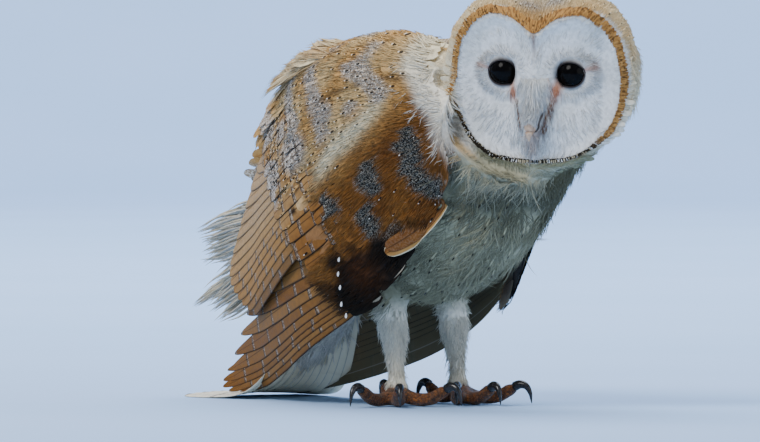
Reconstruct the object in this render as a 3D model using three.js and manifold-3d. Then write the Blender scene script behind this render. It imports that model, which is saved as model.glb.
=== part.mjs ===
// A barn owl standing still, wings half open and drooped, head turned to its right.
// Millimetres, +Z up. The body faces -Y and +X is the bird's own left.
import * as THREE from 'three';
import { mergeVertices } from 'three/addons/utils/BufferGeometryUtils.js';
import Module from 'manifold-3d';

const wasm = await Module();
wasm.setup();

// Driving dimensions.
const gap = 0.3; // clear space between parts that touch
const discHalfWidth = 45;
const discHalfHeight = 39.5;
const headDepth = 60;
const headTurn = 51; // degrees to the bird's right of straight ahead
const headDip = 8;
const headRoll = 2;
const faceCentre = [-11.2, -105.1, 152];
const eyeRadius = 8;
const eyeSpacing = 16.6; // from the middle of the face
const eyeHeight = 8.2; // above the middle of the disc
const eyeDepth = 11.6; // of the eye's centre behind the disc's plane
const faceCut = 15; // where the disc meets the skull, behind the disc's plane
const headSlack = 3.2; // room that the neck and the shoulders leave round the head
const legSpread = { right: [-16, -2], left: [22, 0] };
const ankleHeight = 13;
const kneeHeight = 44;
const toeLength = 34;
const clawLength = 15;
const toeAngles = {
  right: { outer: 70, middle: 34, inner: -14, hind: 200 },
  left: { outer: -27, middle: 7, inner: 37, hind: 172 },
};
const footClearance = 0.5; // claw points and wing tips stay this far off the floor
const tailWidth = 72;
const tailFeathers = 12;
const secondaryCount = 8;
const primaryCount = 7;

const sides = { right: -1, left: 1 };
const radians = THREE.MathUtils.degToRad;
const lerp = THREE.MathUtils.lerp;
const vec = (x, y, z) => new THREE.Vector3(x, y, z);

const colours = {
  buff: { color: 0xc9a26a, roughness: 0.85, metalness: 0 },
  white: { color: 0xe6e2da, roughness: 0.9, metalness: 0 },
  orange: { color: 0xa8703a, roughness: 0.8, metalness: 0 },
  toe: { color: 0x8a5a33, roughness: 0.7, metalness: 0 },
  claw: { color: 0x2a2724, roughness: 0.35, metalness: 0 },
  horn: { color: 0xc9a596, roughness: 0.45, metalness: 0 },
  eye: { color: 0x060608, roughness: 0.05, metalness: 0 },
};

// A smooth value along a list of [position, value] stops, level beyond both ends.
function curve(stops) {
  const slopes = stops.map((stop, i) => {
    const before = stops[Math.max(i - 1, 0)];
    const after = stops[Math.min(i + 1, stops.length - 1)];
    return (after[1] - before[1]) / (after[0] - before[0]);
  });
  return (t) => {
    const last = stops.length - 1;
    if (t <= stops[0][0]) return stops[0][1];
    if (t >= stops[last][0]) return stops[last][1];
    const i = stops.findIndex((stop) => stop[0] > t) - 1;
    const span = stops[i + 1][0] - stops[i][0];
    const s = (t - stops[i][0]) / span;
    const rise = stops[i + 1][1] - stops[i][1];
    const bend = (1 - s) * (slopes[i] * span - rise) - s * (slopes[i + 1] * span - rise);
    return stops[i][1] + s * rise + s * (1 - s) * bend;
  };
}

// Triangles that close a ring, zipped across it by the shorter diagonal.
function capFaces(ring) {
  const faces = [];
  let low = 0;
  let high = ring.length - 1;
  while (high - low > 1) {
    const lowFirst = ring[low + 1].distanceTo(ring[high]) < ring[low].distanceTo(ring[high - 1]);
    faces.push(low, lowFirst ? low + 1 : high - 1, high);
    if (lowFirst) low += 1;
    else high -= 1;
  }
  return faces;
}

// A closed body through rings of equally many points.
function loft(rings) {
  const count = rings[0].length;
  const faces = [];
  for (let i = 0; i < rings.length - 1; i += 1) {
    for (let j = 0; j < count; j += 1) {
      const a = i * count + j;
      const b = i * count + ((j + 1) % count);
      faces.push(a, b, b + count, a, b + count, a + count);
    }
  }
  const lastRing = (rings.length - 1) * count;
  faces.push(...capFaces(rings[0]).reverse());
  faces.push(...capFaces(rings[rings.length - 1]).map((i) => i + lastRing));
  return solid(rings.flat(), faces);
}

// A manifold solid, its faces turned outward.
function solid(points, faces) {
  let volume = 0;
  for (let i = 0; i < faces.length; i += 3) {
    const [a, b, c] = [points[faces[i]], points[faces[i + 1]], points[faces[i + 2]]];
    volume += a.dot(vec(0, 0, 0).crossVectors(b, c));
  }
  const triVerts = Uint32Array.from(volume > 0 ? faces : [...faces].reverse());
  const vertProperties = Float32Array.from(points.flatMap((p) => p.toArray()));
  return new wasm.Manifold(new wasm.Mesh({ numProp: 3, vertProperties, triVerts }));
}

// Points round an ellipse-like outline; power 2 is an ellipse and more is squarer.
function outline(centre, across, along, halfAcross, halfAlong, count, power = 2) {
  return Array.from({ length: count }, (_, i) => {
    const angle = (2 * Math.PI * i) / count;
    const c = Math.cos(angle);
    const s = Math.sin(angle);
    const p = halfAcross * Math.sign(c) * Math.abs(c) ** (2 / power);
    const q = halfAlong * Math.sign(s) * Math.abs(s) ** (2 / power);
    return centre.clone().addScaledVector(across, p).addScaledVector(along, q);
  });
}

// A body along a spine of [x, y, z, half width, half height] stations, with domed ends.
function spineBody(stations, { count = 20, steps = 10, grow = 0, power = 2, dome = 0.5 } = {}) {
  const path = new THREE.CatmullRomCurve3(stations.map((s) => vec(s[0], s[1], s[2])));
  const width = curve(stations.map((s, i) => [i / (stations.length - 1), s[3]]));
  const height = curve(stations.map((s, i) => [i / (stations.length - 1), s[4]]));
  const rings = [];
  const addRing = (t, push, scale) => {
    const tangent = path.getTangent(t);
    const across = vec(1, 0, 0).addScaledVector(tangent, -tangent.x).normalize();
    const along = vec(0, 0, 0).crossVectors(tangent, across).normalize();
    const centre = path.getPoint(t).addScaledVector(tangent, push);
    const halfWidth = (width(t) + grow) * scale;
    const halfHeight = (height(t) + grow) * scale;
    rings.push(outline(centre, across, along, halfWidth, halfHeight, count, power));
  };
  const reach = (t) => dome * Math.min(width(t), height(t)) + grow;
  [0.98, 0.75].forEach((lift) => addRing(0, -reach(0) * lift, Math.sqrt(1 - lift * lift)));
  for (let i = 0; i <= steps; i += 1) addRing(i / steps, 0, 1);
  [0.75, 0.98].forEach((lift) => addRing(1, reach(1) * lift, Math.sqrt(1 - lift * lift)));
  return loft(rings);
}

// A round rod through [point, radius] stops, never lower than the floor height given.
function rod(stops, { count = 10, steps = 12, grow = 0, floor = -1000 } = {}) {
  const path = new THREE.CatmullRomCurve3(stops.map((s) => s[0]));
  const radius = curve(stops.map((s, i) => [i / (stops.length - 1), s[1]]));
  const frames = path.computeFrenetFrames(steps);
  const rings = [];
  for (let i = 0; i <= steps; i += 1) {
    const t = i / steps;
    const half = Math.max(radius(t), 0.25) + grow;
    const ring = outline(path.getPointAt(t), frames.normals[i], frames.binormals[i], half, half, count);
    ring.forEach((p) => p.setZ(Math.max(p.z, floor - grow)));
    rings.push(ring);
  }
  return loft(rings);
}

// A solid of one of three.js's own closed geometries.
function solidOf(geometry) {
  geometry.deleteAttribute('normal');
  geometry.deleteAttribute('uv');
  const merged = mergeVertices(geometry);
  const { array, count } = merged.attributes.position;
  const points = Array.from({ length: count }, (_, i) => vec(0, 0, 0).fromArray(array, 3 * i));
  return solid(points, Array.from(merged.index.array));
}

// The body with every cutter taken away, as its largest single piece.
function cutBy(body, cutters) {
  const rest = cutters.reduce((left, cutter) => left.subtract(cutter), body);
  const pieces = rest.decompose();
  return pieces.reduce((best, piece) => (piece.volume() > best.volume() ? piece : best));
}

// Head.

const turn = radians(headTurn);
const dip = radians(headDip);
const roll = radians(headRoll);
const faceOut = vec(-Math.sin(turn) * Math.cos(dip), -Math.cos(turn) * Math.cos(dip), -Math.sin(dip));
const levelSide = vec(0, 0, 1).cross(faceOut).normalize();
const levelUp = vec(0, 0, 0).crossVectors(faceOut, levelSide);
const faceSide = levelSide.clone().applyAxisAngle(faceOut, -roll);
const faceUp = levelUp.clone().applyAxisAngle(faceOut, -roll);
const faceMiddle = vec(...faceCentre);

// A point of the head from its place across, up and behind the disc's plane.
function headPoint(across, up, behind) {
  return faceMiddle
    .clone()
    .addScaledVector(faceSide, across)
    .addScaledVector(faceUp, up)
    .addScaledVector(faceOut, -behind);
}

// The heart-shaped edge: two lobes with a cleft between them at the top.
function discEdge(angle, cleft) {
  const top = Math.max(Math.sin(angle), 0);
  const round = 1 / Math.hypot(Math.cos(angle) / discHalfWidth, Math.sin(angle) / discHalfHeight);
  const lobe = top > 0 ? 6 * Math.sin(2 * angle) ** 2 : 0;
  const away = (angle - Math.PI / 2) / radians(15);
  return round + lobe - cleft * 13 * Math.exp(-away * away);
}

// How far the disc lies behind its own plane: swept back at the sides, dished round
// each eye, raised along the middle ridge and at the rim.
function discDepth(across, up, reach) {
  const sweep = 12 * (across / discHalfWidth) ** 2 + 3 * (up / discHalfHeight) ** 2;
  const eyeAcross = (Math.abs(across) - eyeSpacing) / 15;
  const eyeUp = (up - eyeHeight + 3) / 20;
  const dish = 6 * Math.exp(-eyeAcross * eyeAcross - eyeUp * eyeUp);
  const ridge = 7 * Math.exp(-((across / 7) ** 2)) * Math.exp(-(((up + 12) / 24) ** 2));
  const rim = 3.5 * Math.exp(-(((reach - 0.94) / 0.09) ** 2));
  return sweep + dish - ridge - rim;
}

const headTurns = 24;
const headAngles = Array.from({ length: headTurns }, (_, i) => (2 * Math.PI * i) / headTurns);
const crownRise = curve([[0, 0], [14, 2], [30, 6], [headDepth, 4]]);
const skullScale = curve([[0, 1.03], [14, 1.08], [26, 1.06], [40, 0.92], [50, 0.7], [57, 0.4], [headDepth, 0.12]]);

function skullRing(behind, grow) {
  const cleft = Math.max(1 - behind / 18, 0);
  return headAngles.map((angle) => {
    const reach = discEdge(angle, cleft) * skullScale(behind) + grow;
    const flat = Math.sin(angle) < 0 ? 0.95 : 1;
    return headPoint(reach * Math.cos(angle), reach * flat * Math.sin(angle) + crownRise(behind), behind);
  });
}

function skull(grow) {
  const depths = [faceCut + gap - grow, 25, 37, 47, 55, headDepth + grow];
  return loft(depths.map((behind) => skullRing(behind, grow)));
}

function discBody() {
  const front = [0.14, 0.36, 0.58, 0.78, 0.93, 1.02];
  const rings = front.map((reach) =>
    headAngles.map((angle) => {
      const across = reach * discEdge(angle, 1) * Math.cos(angle);
      const up = reach * discEdge(angle, 1) * Math.sin(angle);
      return headPoint(across, up, Math.min(discDepth(across, up, reach), faceCut - 1.5));
    }),
  );
  rings.push(skullRing(faceCut, 0));
  return loft(rings);
}

// The whole head's outline, plain and a little larger, which the neck is cut to.
function headRoom() {
  const depths = [-14, 0, faceCut, 25, 37, 47, 55, headDepth + 1];
  return loft(depths.map((behind) => skullRing(behind, headSlack).filter((_, i) => i % 2 === 0)));
}

function eyeBall(side, grow, segments = 12) {
  const centre = headPoint(side * eyeSpacing, eyeHeight, eyeDepth);
  const sphere = new THREE.SphereGeometry(eyeRadius + grow, segments, Math.round(segments * 0.7));
  return solidOf(sphere.translate(centre.x, centre.y, centre.z));
}

function beakUpper(grow) {
  const stops = [
    [headPoint(0, -6, 2), 5],
    [headPoint(0, -10.5, -4.5), 4.6],
    [headPoint(0, -16.5, -8.2), 3.2],
    [headPoint(0, -22.5, -8), 0.6],
  ];
  return rod(stops, { count: 8, steps: 6, grow });
}

function beakLower(grow) {
  const stops = [
    [headPoint(0, -13, 3), 3.4],
    [headPoint(0, -16.5, -1.5), 2.8],
    [headPoint(0, -20, -4.2), 1.2],
  ];
  return rod(stops, { count: 7, steps: 4, grow });
}

// Body. One spine runs from inside the head to the tail's root and is cut into the
// neck and the trunk.

const bodySpine = [
  [4, -88, 150, 37, 36],
  [0, -68, 134, 37, 45],
  [0, -38, 118, 42, 56],
  [0, -5, 106, 44, 58],
  [0, 30, 95, 37, 49],
  [0, 56, 82, 27, 34],
  [0, 76, 70, 16, 20],
];
const neckCut = { y: -70, z: 132, lean: 29 }; // a point of the cut and its slope in degrees

function torso(grow) {
  return spineBody(bodySpine, { count: 16, steps: 8, grow, power: 2.1 });
}

// A block that fills everything in front of the neck's cut, or behind it.
function neckBlock(forward) {
  const size = 400;
  const reach = (forward ? -1 : 1) * (size / 2 - gap / 2);
  const box = new THREE.BoxGeometry(size, size, size).translate(0, reach, 0);
  return solidOf(box.rotateX(-radians(neckCut.lean)).translate(0, neckCut.y, neckCut.z));
}

// Wing surface: half the bird's width at any place on its side view.

const wingTop = curve([
  [-78, 156], [-54, 171], [-14, 179], [19, 177], [51, 170], [74, 160],
  [93, 146], [106, 131], [120, 107], [132, 86], [142, 66], [150, 50],
]);
const wingWidest = curve([[-75, 41], [-60, 45], [-30, 50], [0, 55], [35, 55], [70, 45], [100, 33], [135, 22]]);
const wingMid = curve([[-75, 128], [-60, 125], [0, 105], [35, 90], [70, 70], [100, 50], [140, 25]]);
const wingLow = curve([
  [-61, 98], [-47, 79], [-22, 55], [-3, 41], [17, 28], [36, 18], [55, 10], [106, 2], [140, 1],
]);
const wingTuck = curve([[-60, 11], [60, 11], [100, 7], [140, 1]]);
const wingRidge = 10; // half width along the top of the back
const leftWrist = curve([[-60, 8], [-15, 0]]); // how much closer the left wrist is held

function wingHalf(y, z) {
  const mid = wingMid(y);
  if (z > mid) {
    const s = Math.min((z - mid) / (wingTop(y) - mid), 0.996);
    return wingRidge + (wingWidest(y) - wingRidge) * (1 - s ** 2.3) ** (1 / 2.3);
  }
  const s = Math.min((mid - z) / Math.max(mid - wingLow(y), 8), 1.3);
  return wingWidest(y) - wingTuck(y) * s * s;
}

// A point lifted square off the wing's surface.
function wingPoint(side, y, z, lift) {
  const step = 1.5;
  const high = Math.min(z, wingTop(y) - 0.6);
  const slopeY = (wingHalf(y + step, high) - wingHalf(y - step, high)) / (2 * step);
  const slopeZ = (wingHalf(y, high + step) - wingHalf(y, high - step)) / (2 * step);
  const out = vec(1, -slopeY, -slopeZ).normalize();
  const point = vec(wingHalf(y, high), y, high).addScaledVector(out, lift);
  const held = side > 0 ? leftWrist(y) : 0;
  return vec(side * (point.x - held), point.y, Math.max(point.z, footClearance + 0.3));
}

// The rings with the first and the last moved outward by the distance given.
function longer(rings, distance) {
  const push = (ring, inner) => {
    ring.forEach((p, i) => p.addScaledVector(p.clone().sub(inner[i]).normalize(), distance));
  };
  push(rings[0], rings[1]);
  push(rings[rings.length - 1], rings[rings.length - 2]);
  return rings;
}

// A shell over a patch of the wing. Each patch edge is a list of [y, z] corners.
function wingShell(side, upper, lower, lifts, { along = 10, across = 6, grow = 0 } = {}) {
  const edge = (corners) => new THREE.CatmullRomCurve3(corners.map((c) => vec(0, c[0], c[1])));
  const wider = grow / 40;
  const upperEdge = edge(upper);
  const lowerEdge = edge(lower);
  const rings = [];
  for (let i = 0; i <= along; i += 1) {
    const t = i / along;
    const a = upperEdge.getPoint(t);
    const b = lowerEdge.getPoint(t);
    const ring = [];
    for (let j = 0; j <= across; j += 1) {
      const s = lerp(-wider, 1 + wider, j / across);
      ring.push(wingPoint(side, lerp(a.y, b.y, s), lerp(a.z, b.z, s), lifts.outer(t, s) + grow));
    }
    for (let j = across; j >= 0; j -= 1) {
      const s = lerp(-wider, 1 + wider, j / across);
      ring.push(wingPoint(side, lerp(a.y, b.y, s), lerp(a.z, b.z, s), lifts.inner(t, s) - grow));
    }
    rings.push(ring);
  }
  return loft(longer(rings, grow));
}

const scapularTop = [[-76, 157], [-54, 171], [-14, 179], [19, 177], [51, 170], [74, 160], [96, 143]];
const scapularCrease = [[-74, 152], [-50, 161], [-14, 162], [19, 158], [45, 150], [68, 138], [92, 124]];
const covertTop = [[-73, 151], [-50, 160], [-14, 161], [19, 157], [45, 149], [68, 137], [84, 127]];
const covertLow = [[-77, 127], [-72, 111], [-61, 98], [-47, 80], [-30, 62], [-16, 51], [-4, 46]];

function scapulars(side, grow) {
  const outer = (t, s) => 1.6 + 3 * Math.sin(Math.PI * (0.15 + 0.7 * s)) * (1 - 0.6 * t);
  const inner = (t) => -lerp(4, 0.3, t);
  return wingShell(side, scapularTop, scapularCrease, { outer, inner }, { along: 9, across: 3, grow });
}

function coverts(side, grow) {
  const outer = (t, s) => 1.4 + 2 * Math.sin(Math.PI * s) * (1 - t) + 0.8 * (1 - t);
  const inner = (t) => -lerp(8, -0.4, Math.min(t * 1.35, 1));
  return wingShell(side, covertTop, covertLow, { outer, inner }, { along: 9, across: 6, grow });
}

// A fan of overlapping feathers as one stepped sheet. The stops give the feathers'
// places [root y, root z, tip y, tip z] across the fan; at(y, z, lift) sets a point.
// Each feather's far edge stands over the next, and its tip is rounded.
function fanSheet(at, count, stops, { half, lift, bow = 0, step = 0.7, thick = 1.1, grow = 0, steps = 6 }) {
  const along = (k) => curve(stops.map((stop, i) => [i / (stops.length - 1), stop[k]]));
  const [rootY, rootZ, tipY, tipZ] = [0, 1, 2, 3].map(along);
  const spot = (across, t) => {
    const s = THREE.MathUtils.clamp(across / count, 0, 1);
    const run = [tipY(s) - rootY(s), tipZ(s) - rootZ(s)];
    const length = Math.hypot(...run);
    const beyond = (across - s * count) * half + bow * Math.sin(Math.PI * t);
    const y = rootY(s) + run[0] * t + (run[1] / length) * beyond;
    return [y, rootZ(s) + run[1] * t - (run[0] / length) * beyond];
  };
  const rings = [];
  for (let k = 0; k <= steps; k += 1) {
    const t = k / steps;
    const notch = 1 - 0.07 * t ** 3;
    const ring = [];
    [1, -1].forEach((face) => {
      for (let j = 0; j < count; j += 1) {
        const i = face > 0 ? j : count - 1 - j;
        const near = i === 0 ? -grow / half : 0.02;
        const far = i === count - 1 ? 1 + grow / half : 0.98;
        const marks = [[near, t * notch, -step / 2], [0.5, t, 0], [far, t * notch, step / 2]];
        if (face < 0) marks.reverse();
        const skin = face * (thick / 2 + grow);
        marks.forEach(([mark, reach, lap]) => ring.push(at(...spot(i + mark, reach), lift + lap + skin)));
      }
    });
    rings.push(ring);
  }
  return loft(longer(rings, grow));
}

const secondaryStops = [
  [46, 128, 98, 120], [30, 119, 128, 88], [18, 111, 136, 64], [8, 104, 118, 50], [-4, 95, 90, 42],
];
const primaryStops = [
  [-8, 82, 98, 58], [-14, 70, 119, 34], [-18, 60, 138, 13], [-21, 53, 142, 4], [-24, 47, 124, 1],
];
const alulaStops = [[-72, 122, -34, 84], [-77, 112, -28, 72], [-76, 103, -36, 66]];

function wingFan(side, count, stops, options) {
  return fanSheet((y, z, lift) => wingPoint(side, y, z, lift), count, stops, options);
}

function secondaries(side, grow, count = secondaryCount) {
  return wingFan(side, count, secondaryStops, { half: 8, lift: -1.7, bow: 2, grow, steps: 4 });
}

function primaries(side, grow) {
  return wingFan(side, primaryCount, primaryStops, { half: 8, lift: -4.6, bow: 4, grow, steps: 5 });
}

function alula(side, grow) {
  return wingFan(side, 2, alulaStops, { half: 4, lift: 5.4, bow: 2, thick: 2.4, grow, steps: 4 });
}

// Tail: feathers in a shallow fan that hangs from the rump and lies back on the floor.
// Its underside is plain, and each feather's top overlaps the next one out.

const tailLine = new THREE.CatmullRomCurve3([
  vec(0, 62, 62), vec(0, 78, 40), vec(0, 92, 16), vec(0, 108, 3.2), vec(0, 132, 0.3), vec(0, 158, 0.2),
]);
const tailRoot = 30; // the tail's width where it leaves the rump
const tailSettle = 2; // where the underside is lower than this, it is laid flat on the floor

function tail(grow, feathers = tailFeathers) {
  const half = feathers / 2;
  const steps = 5;
  const spot = (spread, t, rise) => {
    const centre = tailLine.getPoint(t);
    const up = vec(0, 0, 0).crossVectors(vec(1, 0, 0), tailLine.getTangent(t)).normalize();
    const arch = (1 - spread * spread) * 4 * (1 - 0.75 * t);
    const reach = lerp(tailRoot, tailWidth, t) / 2 + 2 * grow;
    const point = centre.addScaledVector(up, arch + rise).setX(spread * reach);
    if (rise > 0) return point.setZ(Math.max(point.z, 0.8 + grow));
    return point.z < tailSettle ? point.setZ(-grow) : point;
  };
  const rings = [];
  for (let k = 0; k <= steps; k += 1) {
    const t = (k / steps) ** 1.2;
    const ring = [];
    for (let i = 0; i < feathers; i += 1) {
      const lap = i < half ? 0.35 : -0.35;
      [[0.03, -lap], [0.5, 0], [0.97, lap]].forEach(([mark, step]) => {
        const spread = (i + mark - half) / half;
        const notch = mark === 0.5 ? 1 : 1 - 0.05 * t ** 3;
        ring.push(spot(spread, t * notch * (1 - 0.04 * spread * spread), 1.2 + step + grow));
      });
    }
    for (let i = feathers - 1; i >= 0; i -= 1) {
      const spread = (i + 0.5 - half) / (half - 0.5);
      ring.push(spot(spread, t * (1 - 0.04 * spread * spread), -0.4 - grow));
    }
    rings.push(ring);
  }
  return loft(longer(rings, grow));
}

function tailCoverts() {
  const stations = [[0, 58, 70, 21, 20], [0, 76, 50, 20, 16], [0, 91, 29, 18, 10], [0, 103, 14, 12, 5]];
  return spineBody(stations, { count: 12, steps: 4 });
}

// Legs and feet.

function thigh(side, grow) {
  const [x, y] = legSpread[side];
  const stops = [
    [vec(x * 0.9, y + 10, 78), 13],
    [vec(x * 0.97, y + 6.8, 60), 11.5],
    [vec(x, y + 4, kneeHeight), 8.6],
  ];
  return rod(stops, { count: 10, steps: 4, grow });
}

function tarsus(side, grow) {
  const [x, y] = legSpread[side];
  const stops = [
    [vec(x, y + 3.9, kneeHeight - 2 * gap), 8.5],
    [vec(x, y + 2.2, 34), 7.2],
    [vec(x, y + 1, 22), 5.2],
    [vec(x, y, ankleHeight), 4.6],
    [vec(x, y, 5.5), 5],
  ];
  return rod(stops, { count: 10, steps: 5, grow });
}

// A point of a foot: forward along a toe's direction and up from the floor.
function footPoint(side, angle, forward, height) {
  const [x, y] = legSpread[side];
  const a = radians(angle);
  return vec(x - Math.sin(a) * forward, y - Math.cos(a) * forward, height);
}

const toeShare = { outer: 0.94, middle: 1, inner: 0.95, hind: 0.62 };

function toe(side, name, grow) {
  const angle = toeAngles[side][name];
  const length = toeLength * toeShare[name];
  const at = (share, height) => footPoint(side, angle, length * share, height);
  const stops = [
    [at(0.06, 6), 3.2],
    [at(0.24, 4.4), 3.9],
    [at(0.42, 2.9), 3.7],
    [at(0.58, 3.2), 3.9],
    [at(0.74, 4.6), 3.4],
    [at(0.9, 7.8), 3.5],
    [at(1, 9), 2.7],
  ];
  return rod(stops, { count: 8, steps: 6, grow, floor: 0 });
}

function claw(side, name) {
  const angle = toeAngles[side][name];
  const start = toeLength * toeShare[name] + 1.5 * gap;
  const reach = clawLength * (name === 'hind' ? 0.9 : 1);
  const at = (share, height) => footPoint(side, angle, start + reach * share, height);
  const stops = [
    [at(0, 9.2), 2.5],
    [at(0.18, 10.1), 2.2],
    [at(0.4, 9.2), 1.7],
    [at(0.55, 5.8), 1.1],
    [at(0.6, footClearance + 0.4), 0.3],
  ];
  return rod(stops, { count: 6, steps: 6, floor: footClearance });
}

// Back: the roof of feathers between the two wings.

function mantle(grow) {
  const stations = [-60, -38, -10, 20, 50, 76, 98, 112].map((y) => {
    const height = y > 90 ? 9 : 16;
    return [0, y, wingTop(y) - 3 - height, wingHalf(y, wingTop(y) - 14) - 2, height];
  });
  return spineBody(stations, { count: 12, steps: 6, dome: 0.6, grow });
}

// Loose white plumes of the rump that the wind lifts out behind, between the wings.
const plumeStops = [[92, 92, 146, 88], [92, 84, 168, 78], [90, 76, 160, 60], [88, 68, 166, 42], [86, 60, 158, 34]];
const plumeTilt = 0.2; // how far they lean to the right going back

function plumes(grow) {
  const at = (y, z, lift) => vec(lift - plumeTilt * (y - 86), y, z);
  return fanSheet(at, 4, plumeStops, { half: 5, lift: 0, bow: 4, step: 1.2, thick: 1.8, grow, steps: 4 });
}

// Assembly.

const owl = new THREE.Group();

function place(name, body, material) {
  const mesh = body.getMesh();
  const geometry = new THREE.BufferGeometry();
  geometry.setAttribute('position', new THREE.BufferAttribute(mesh.vertProperties, 3));
  geometry.setIndex(new THREE.BufferAttribute(mesh.triVerts, 1));
  geometry.computeVertexNormals();
  const node = new THREE.Mesh(geometry, new THREE.MeshStandardMaterial(colours[material]));
  node.name = name;
  owl.add(node);
}

const bothSides = Object.entries(sides);
const sockets = bothSides.map(([, side]) => eyeBall(side, 3 * gap, 9));
const beakCutters = [beakUpper(gap), beakLower(gap)];

place('head', cutBy(skull(0), sockets), 'buff');
place('facial_disc', cutBy(discBody(), [...sockets, ...beakCutters]), 'white');
bothSides.forEach(([name, side]) => place(`eye_${name}`, eyeBall(side, 0), 'eye'));
place('beak_upper', beakUpper(0), 'horn');
place('beak_lower', cutBy(beakLower(0), [beakUpper(gap)]), 'horn');

place('neck', cutBy(torso(0), [neckBlock(false), headRoom()]), 'white');
place('trunk', cutBy(torso(0), [neckBlock(true), headRoom()]), 'white');
const torsoCutter = torso(gap);
const tailCutter = tail(3 * gap, 4);

bothSides.forEach(([name, side]) => {
  const covertCutter = coverts(side, gap);
  const scapularCutter = scapulars(side, gap);
  place(`coverts_${name}`, cutBy(coverts(side, 0), [torsoCutter]), 'orange');
  place(`scapulars_${name}`, cutBy(scapulars(side, 0), [torsoCutter, covertCutter, headRoom()]), 'buff');
  const arm = [torsoCutter, covertCutter, scapularCutter];
  place(`secondaries_${name}`, cutBy(secondaries(side, 0), arm), 'orange');
  const hand = [torsoCutter, covertCutter, secondaries(side, 3 * gap, 3), tailCutter];
  place(`primaries_${name}`, cutBy(primaries(side, 0), hand), 'orange');
  place(`alula_${name}`, cutBy(alula(side, 0), arm), 'orange');
});

const wingCutters = bothSides.flatMap(([, side]) => [
  coverts(side, gap),
  scapulars(side, gap),
  secondaries(side, 3 * gap, 3),
]);
place('mantle', cutBy(mantle(0), [torsoCutter, headRoom(), ...wingCutters]), 'buff');

place('tail', cutBy(tail(0), [torsoCutter]), 'white');
place('rump_plumes', cutBy(plumes(0), [torsoCutter, mantle(gap), ...wingCutters]), 'white');
const tailRoom = [torsoCutter, tailCutter, plumes(gap), ...wingCutters];
place('tail_coverts', cutBy(tailCoverts(), tailRoom), 'white');

Object.keys(legSpread).forEach((side) => {
  place(`thigh_${side}`, cutBy(thigh(side, 0), [torsoCutter]), 'white');
  place(`tarsus_${side}`, tarsus(side, 0), 'white');
  const taken = [tarsus(side, gap)];
  Object.keys(toeShare).forEach((name) => {
    place(`toe_${name}_${side}`, cutBy(toe(side, name, 0), taken), 'toe');
    taken.push(toe(side, name, gap));
    place(`claw_${name}_${side}`, claw(side, name), 'claw');
  });
});

// The origin is under the middle of the bird, on the floor.
const bounds = new THREE.Box3().setFromObject(owl);
const middle = bounds.getCenter(vec(0, 0, 0));
owl.children.forEach((node) => node.geometry.translate(-middle.x, -middle.y, -bounds.min.z));

export default owl;
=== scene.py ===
import math

import bpy
import numpy as np
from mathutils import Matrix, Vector
from mathutils.bvhtree import BVHTree
from mathutils.kdtree import KDTree


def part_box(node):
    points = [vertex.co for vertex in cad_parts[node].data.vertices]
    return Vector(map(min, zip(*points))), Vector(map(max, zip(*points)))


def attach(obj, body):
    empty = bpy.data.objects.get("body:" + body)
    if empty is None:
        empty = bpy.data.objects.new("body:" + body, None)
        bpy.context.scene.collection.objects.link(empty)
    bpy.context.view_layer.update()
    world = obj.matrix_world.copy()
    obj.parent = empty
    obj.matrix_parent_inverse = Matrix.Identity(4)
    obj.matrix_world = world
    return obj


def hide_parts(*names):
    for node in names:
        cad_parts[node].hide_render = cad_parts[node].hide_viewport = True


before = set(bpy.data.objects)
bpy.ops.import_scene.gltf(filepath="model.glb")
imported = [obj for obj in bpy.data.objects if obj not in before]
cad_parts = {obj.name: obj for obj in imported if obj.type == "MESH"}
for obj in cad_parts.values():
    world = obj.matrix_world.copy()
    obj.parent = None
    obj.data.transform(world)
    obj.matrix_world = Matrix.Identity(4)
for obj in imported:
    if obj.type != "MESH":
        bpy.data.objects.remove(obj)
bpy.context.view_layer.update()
print("frame loaded", len(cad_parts), "nodes")

# Lengths below are in millimetres in the design frame: the body faces -Y, +X is the
# bird's left and the floor is at 0. toRow moves them to the row frame, in metres.


def norm(v):
    v = np.asarray(v, float)
    return v / np.maximum(np.linalg.norm(v, axis=-1, keepdims=True), 1e-9)


def lerp(a, b, t):
    return a + (b - a) * t


def smooth(a, b, x):
    t = np.clip((np.asarray(x, float) - a) / (b - a), 0, 1)
    return t * t * (3 - 2 * t)


def bell(x, middle, width):
    return np.exp(-(((np.asarray(x, float) - middle) / width) ** 2))


def curve(stops):
    # A smooth value along [position, value] stops, level beyond both ends.
    x = np.array([s[0] for s in stops], float)
    v = np.array([s[1] for s in stops], float)
    last = len(x) - 1
    before, after = (np.clip(np.arange(last + 1) + step, 0, last) for step in (-1, 1))
    slopes = (v[after] - v[before]) / (x[after] - x[before])

    def at(t):
        t = np.clip(np.asarray(t, float), x[0], x[-1])
        i = np.clip(np.searchsorted(x, t, side="right") - 1, 0, last - 1)
        span, rise = x[i + 1] - x[i], v[i + 1] - v[i]
        s = (t - x[i]) / span
        bend = (1 - s) * (slopes[i] * span - rise) - s * (slopes[i + 1] * span - rise)
        return v[i] + s * rise + s * (1 - s) * bend

    return at


def spline(points):
    # A smooth path through points, called with values from 0 to 1.
    p = np.array(points, float)
    axes = [curve([(i / (len(p) - 1), q) for i, q in enumerate(p[:, k])]) for k in range(p.shape[1])]
    return lambda t: np.stack([a(t) for a in axes], -1)


def turned(v, axis, angle):
    v, axis = np.asarray(v, float), np.asarray(axis, float)
    c, s = math.cos(angle), math.sin(angle)
    return v * c + np.cross(axis, v) * s + axis * (axis @ v) * (1 - c)


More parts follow.
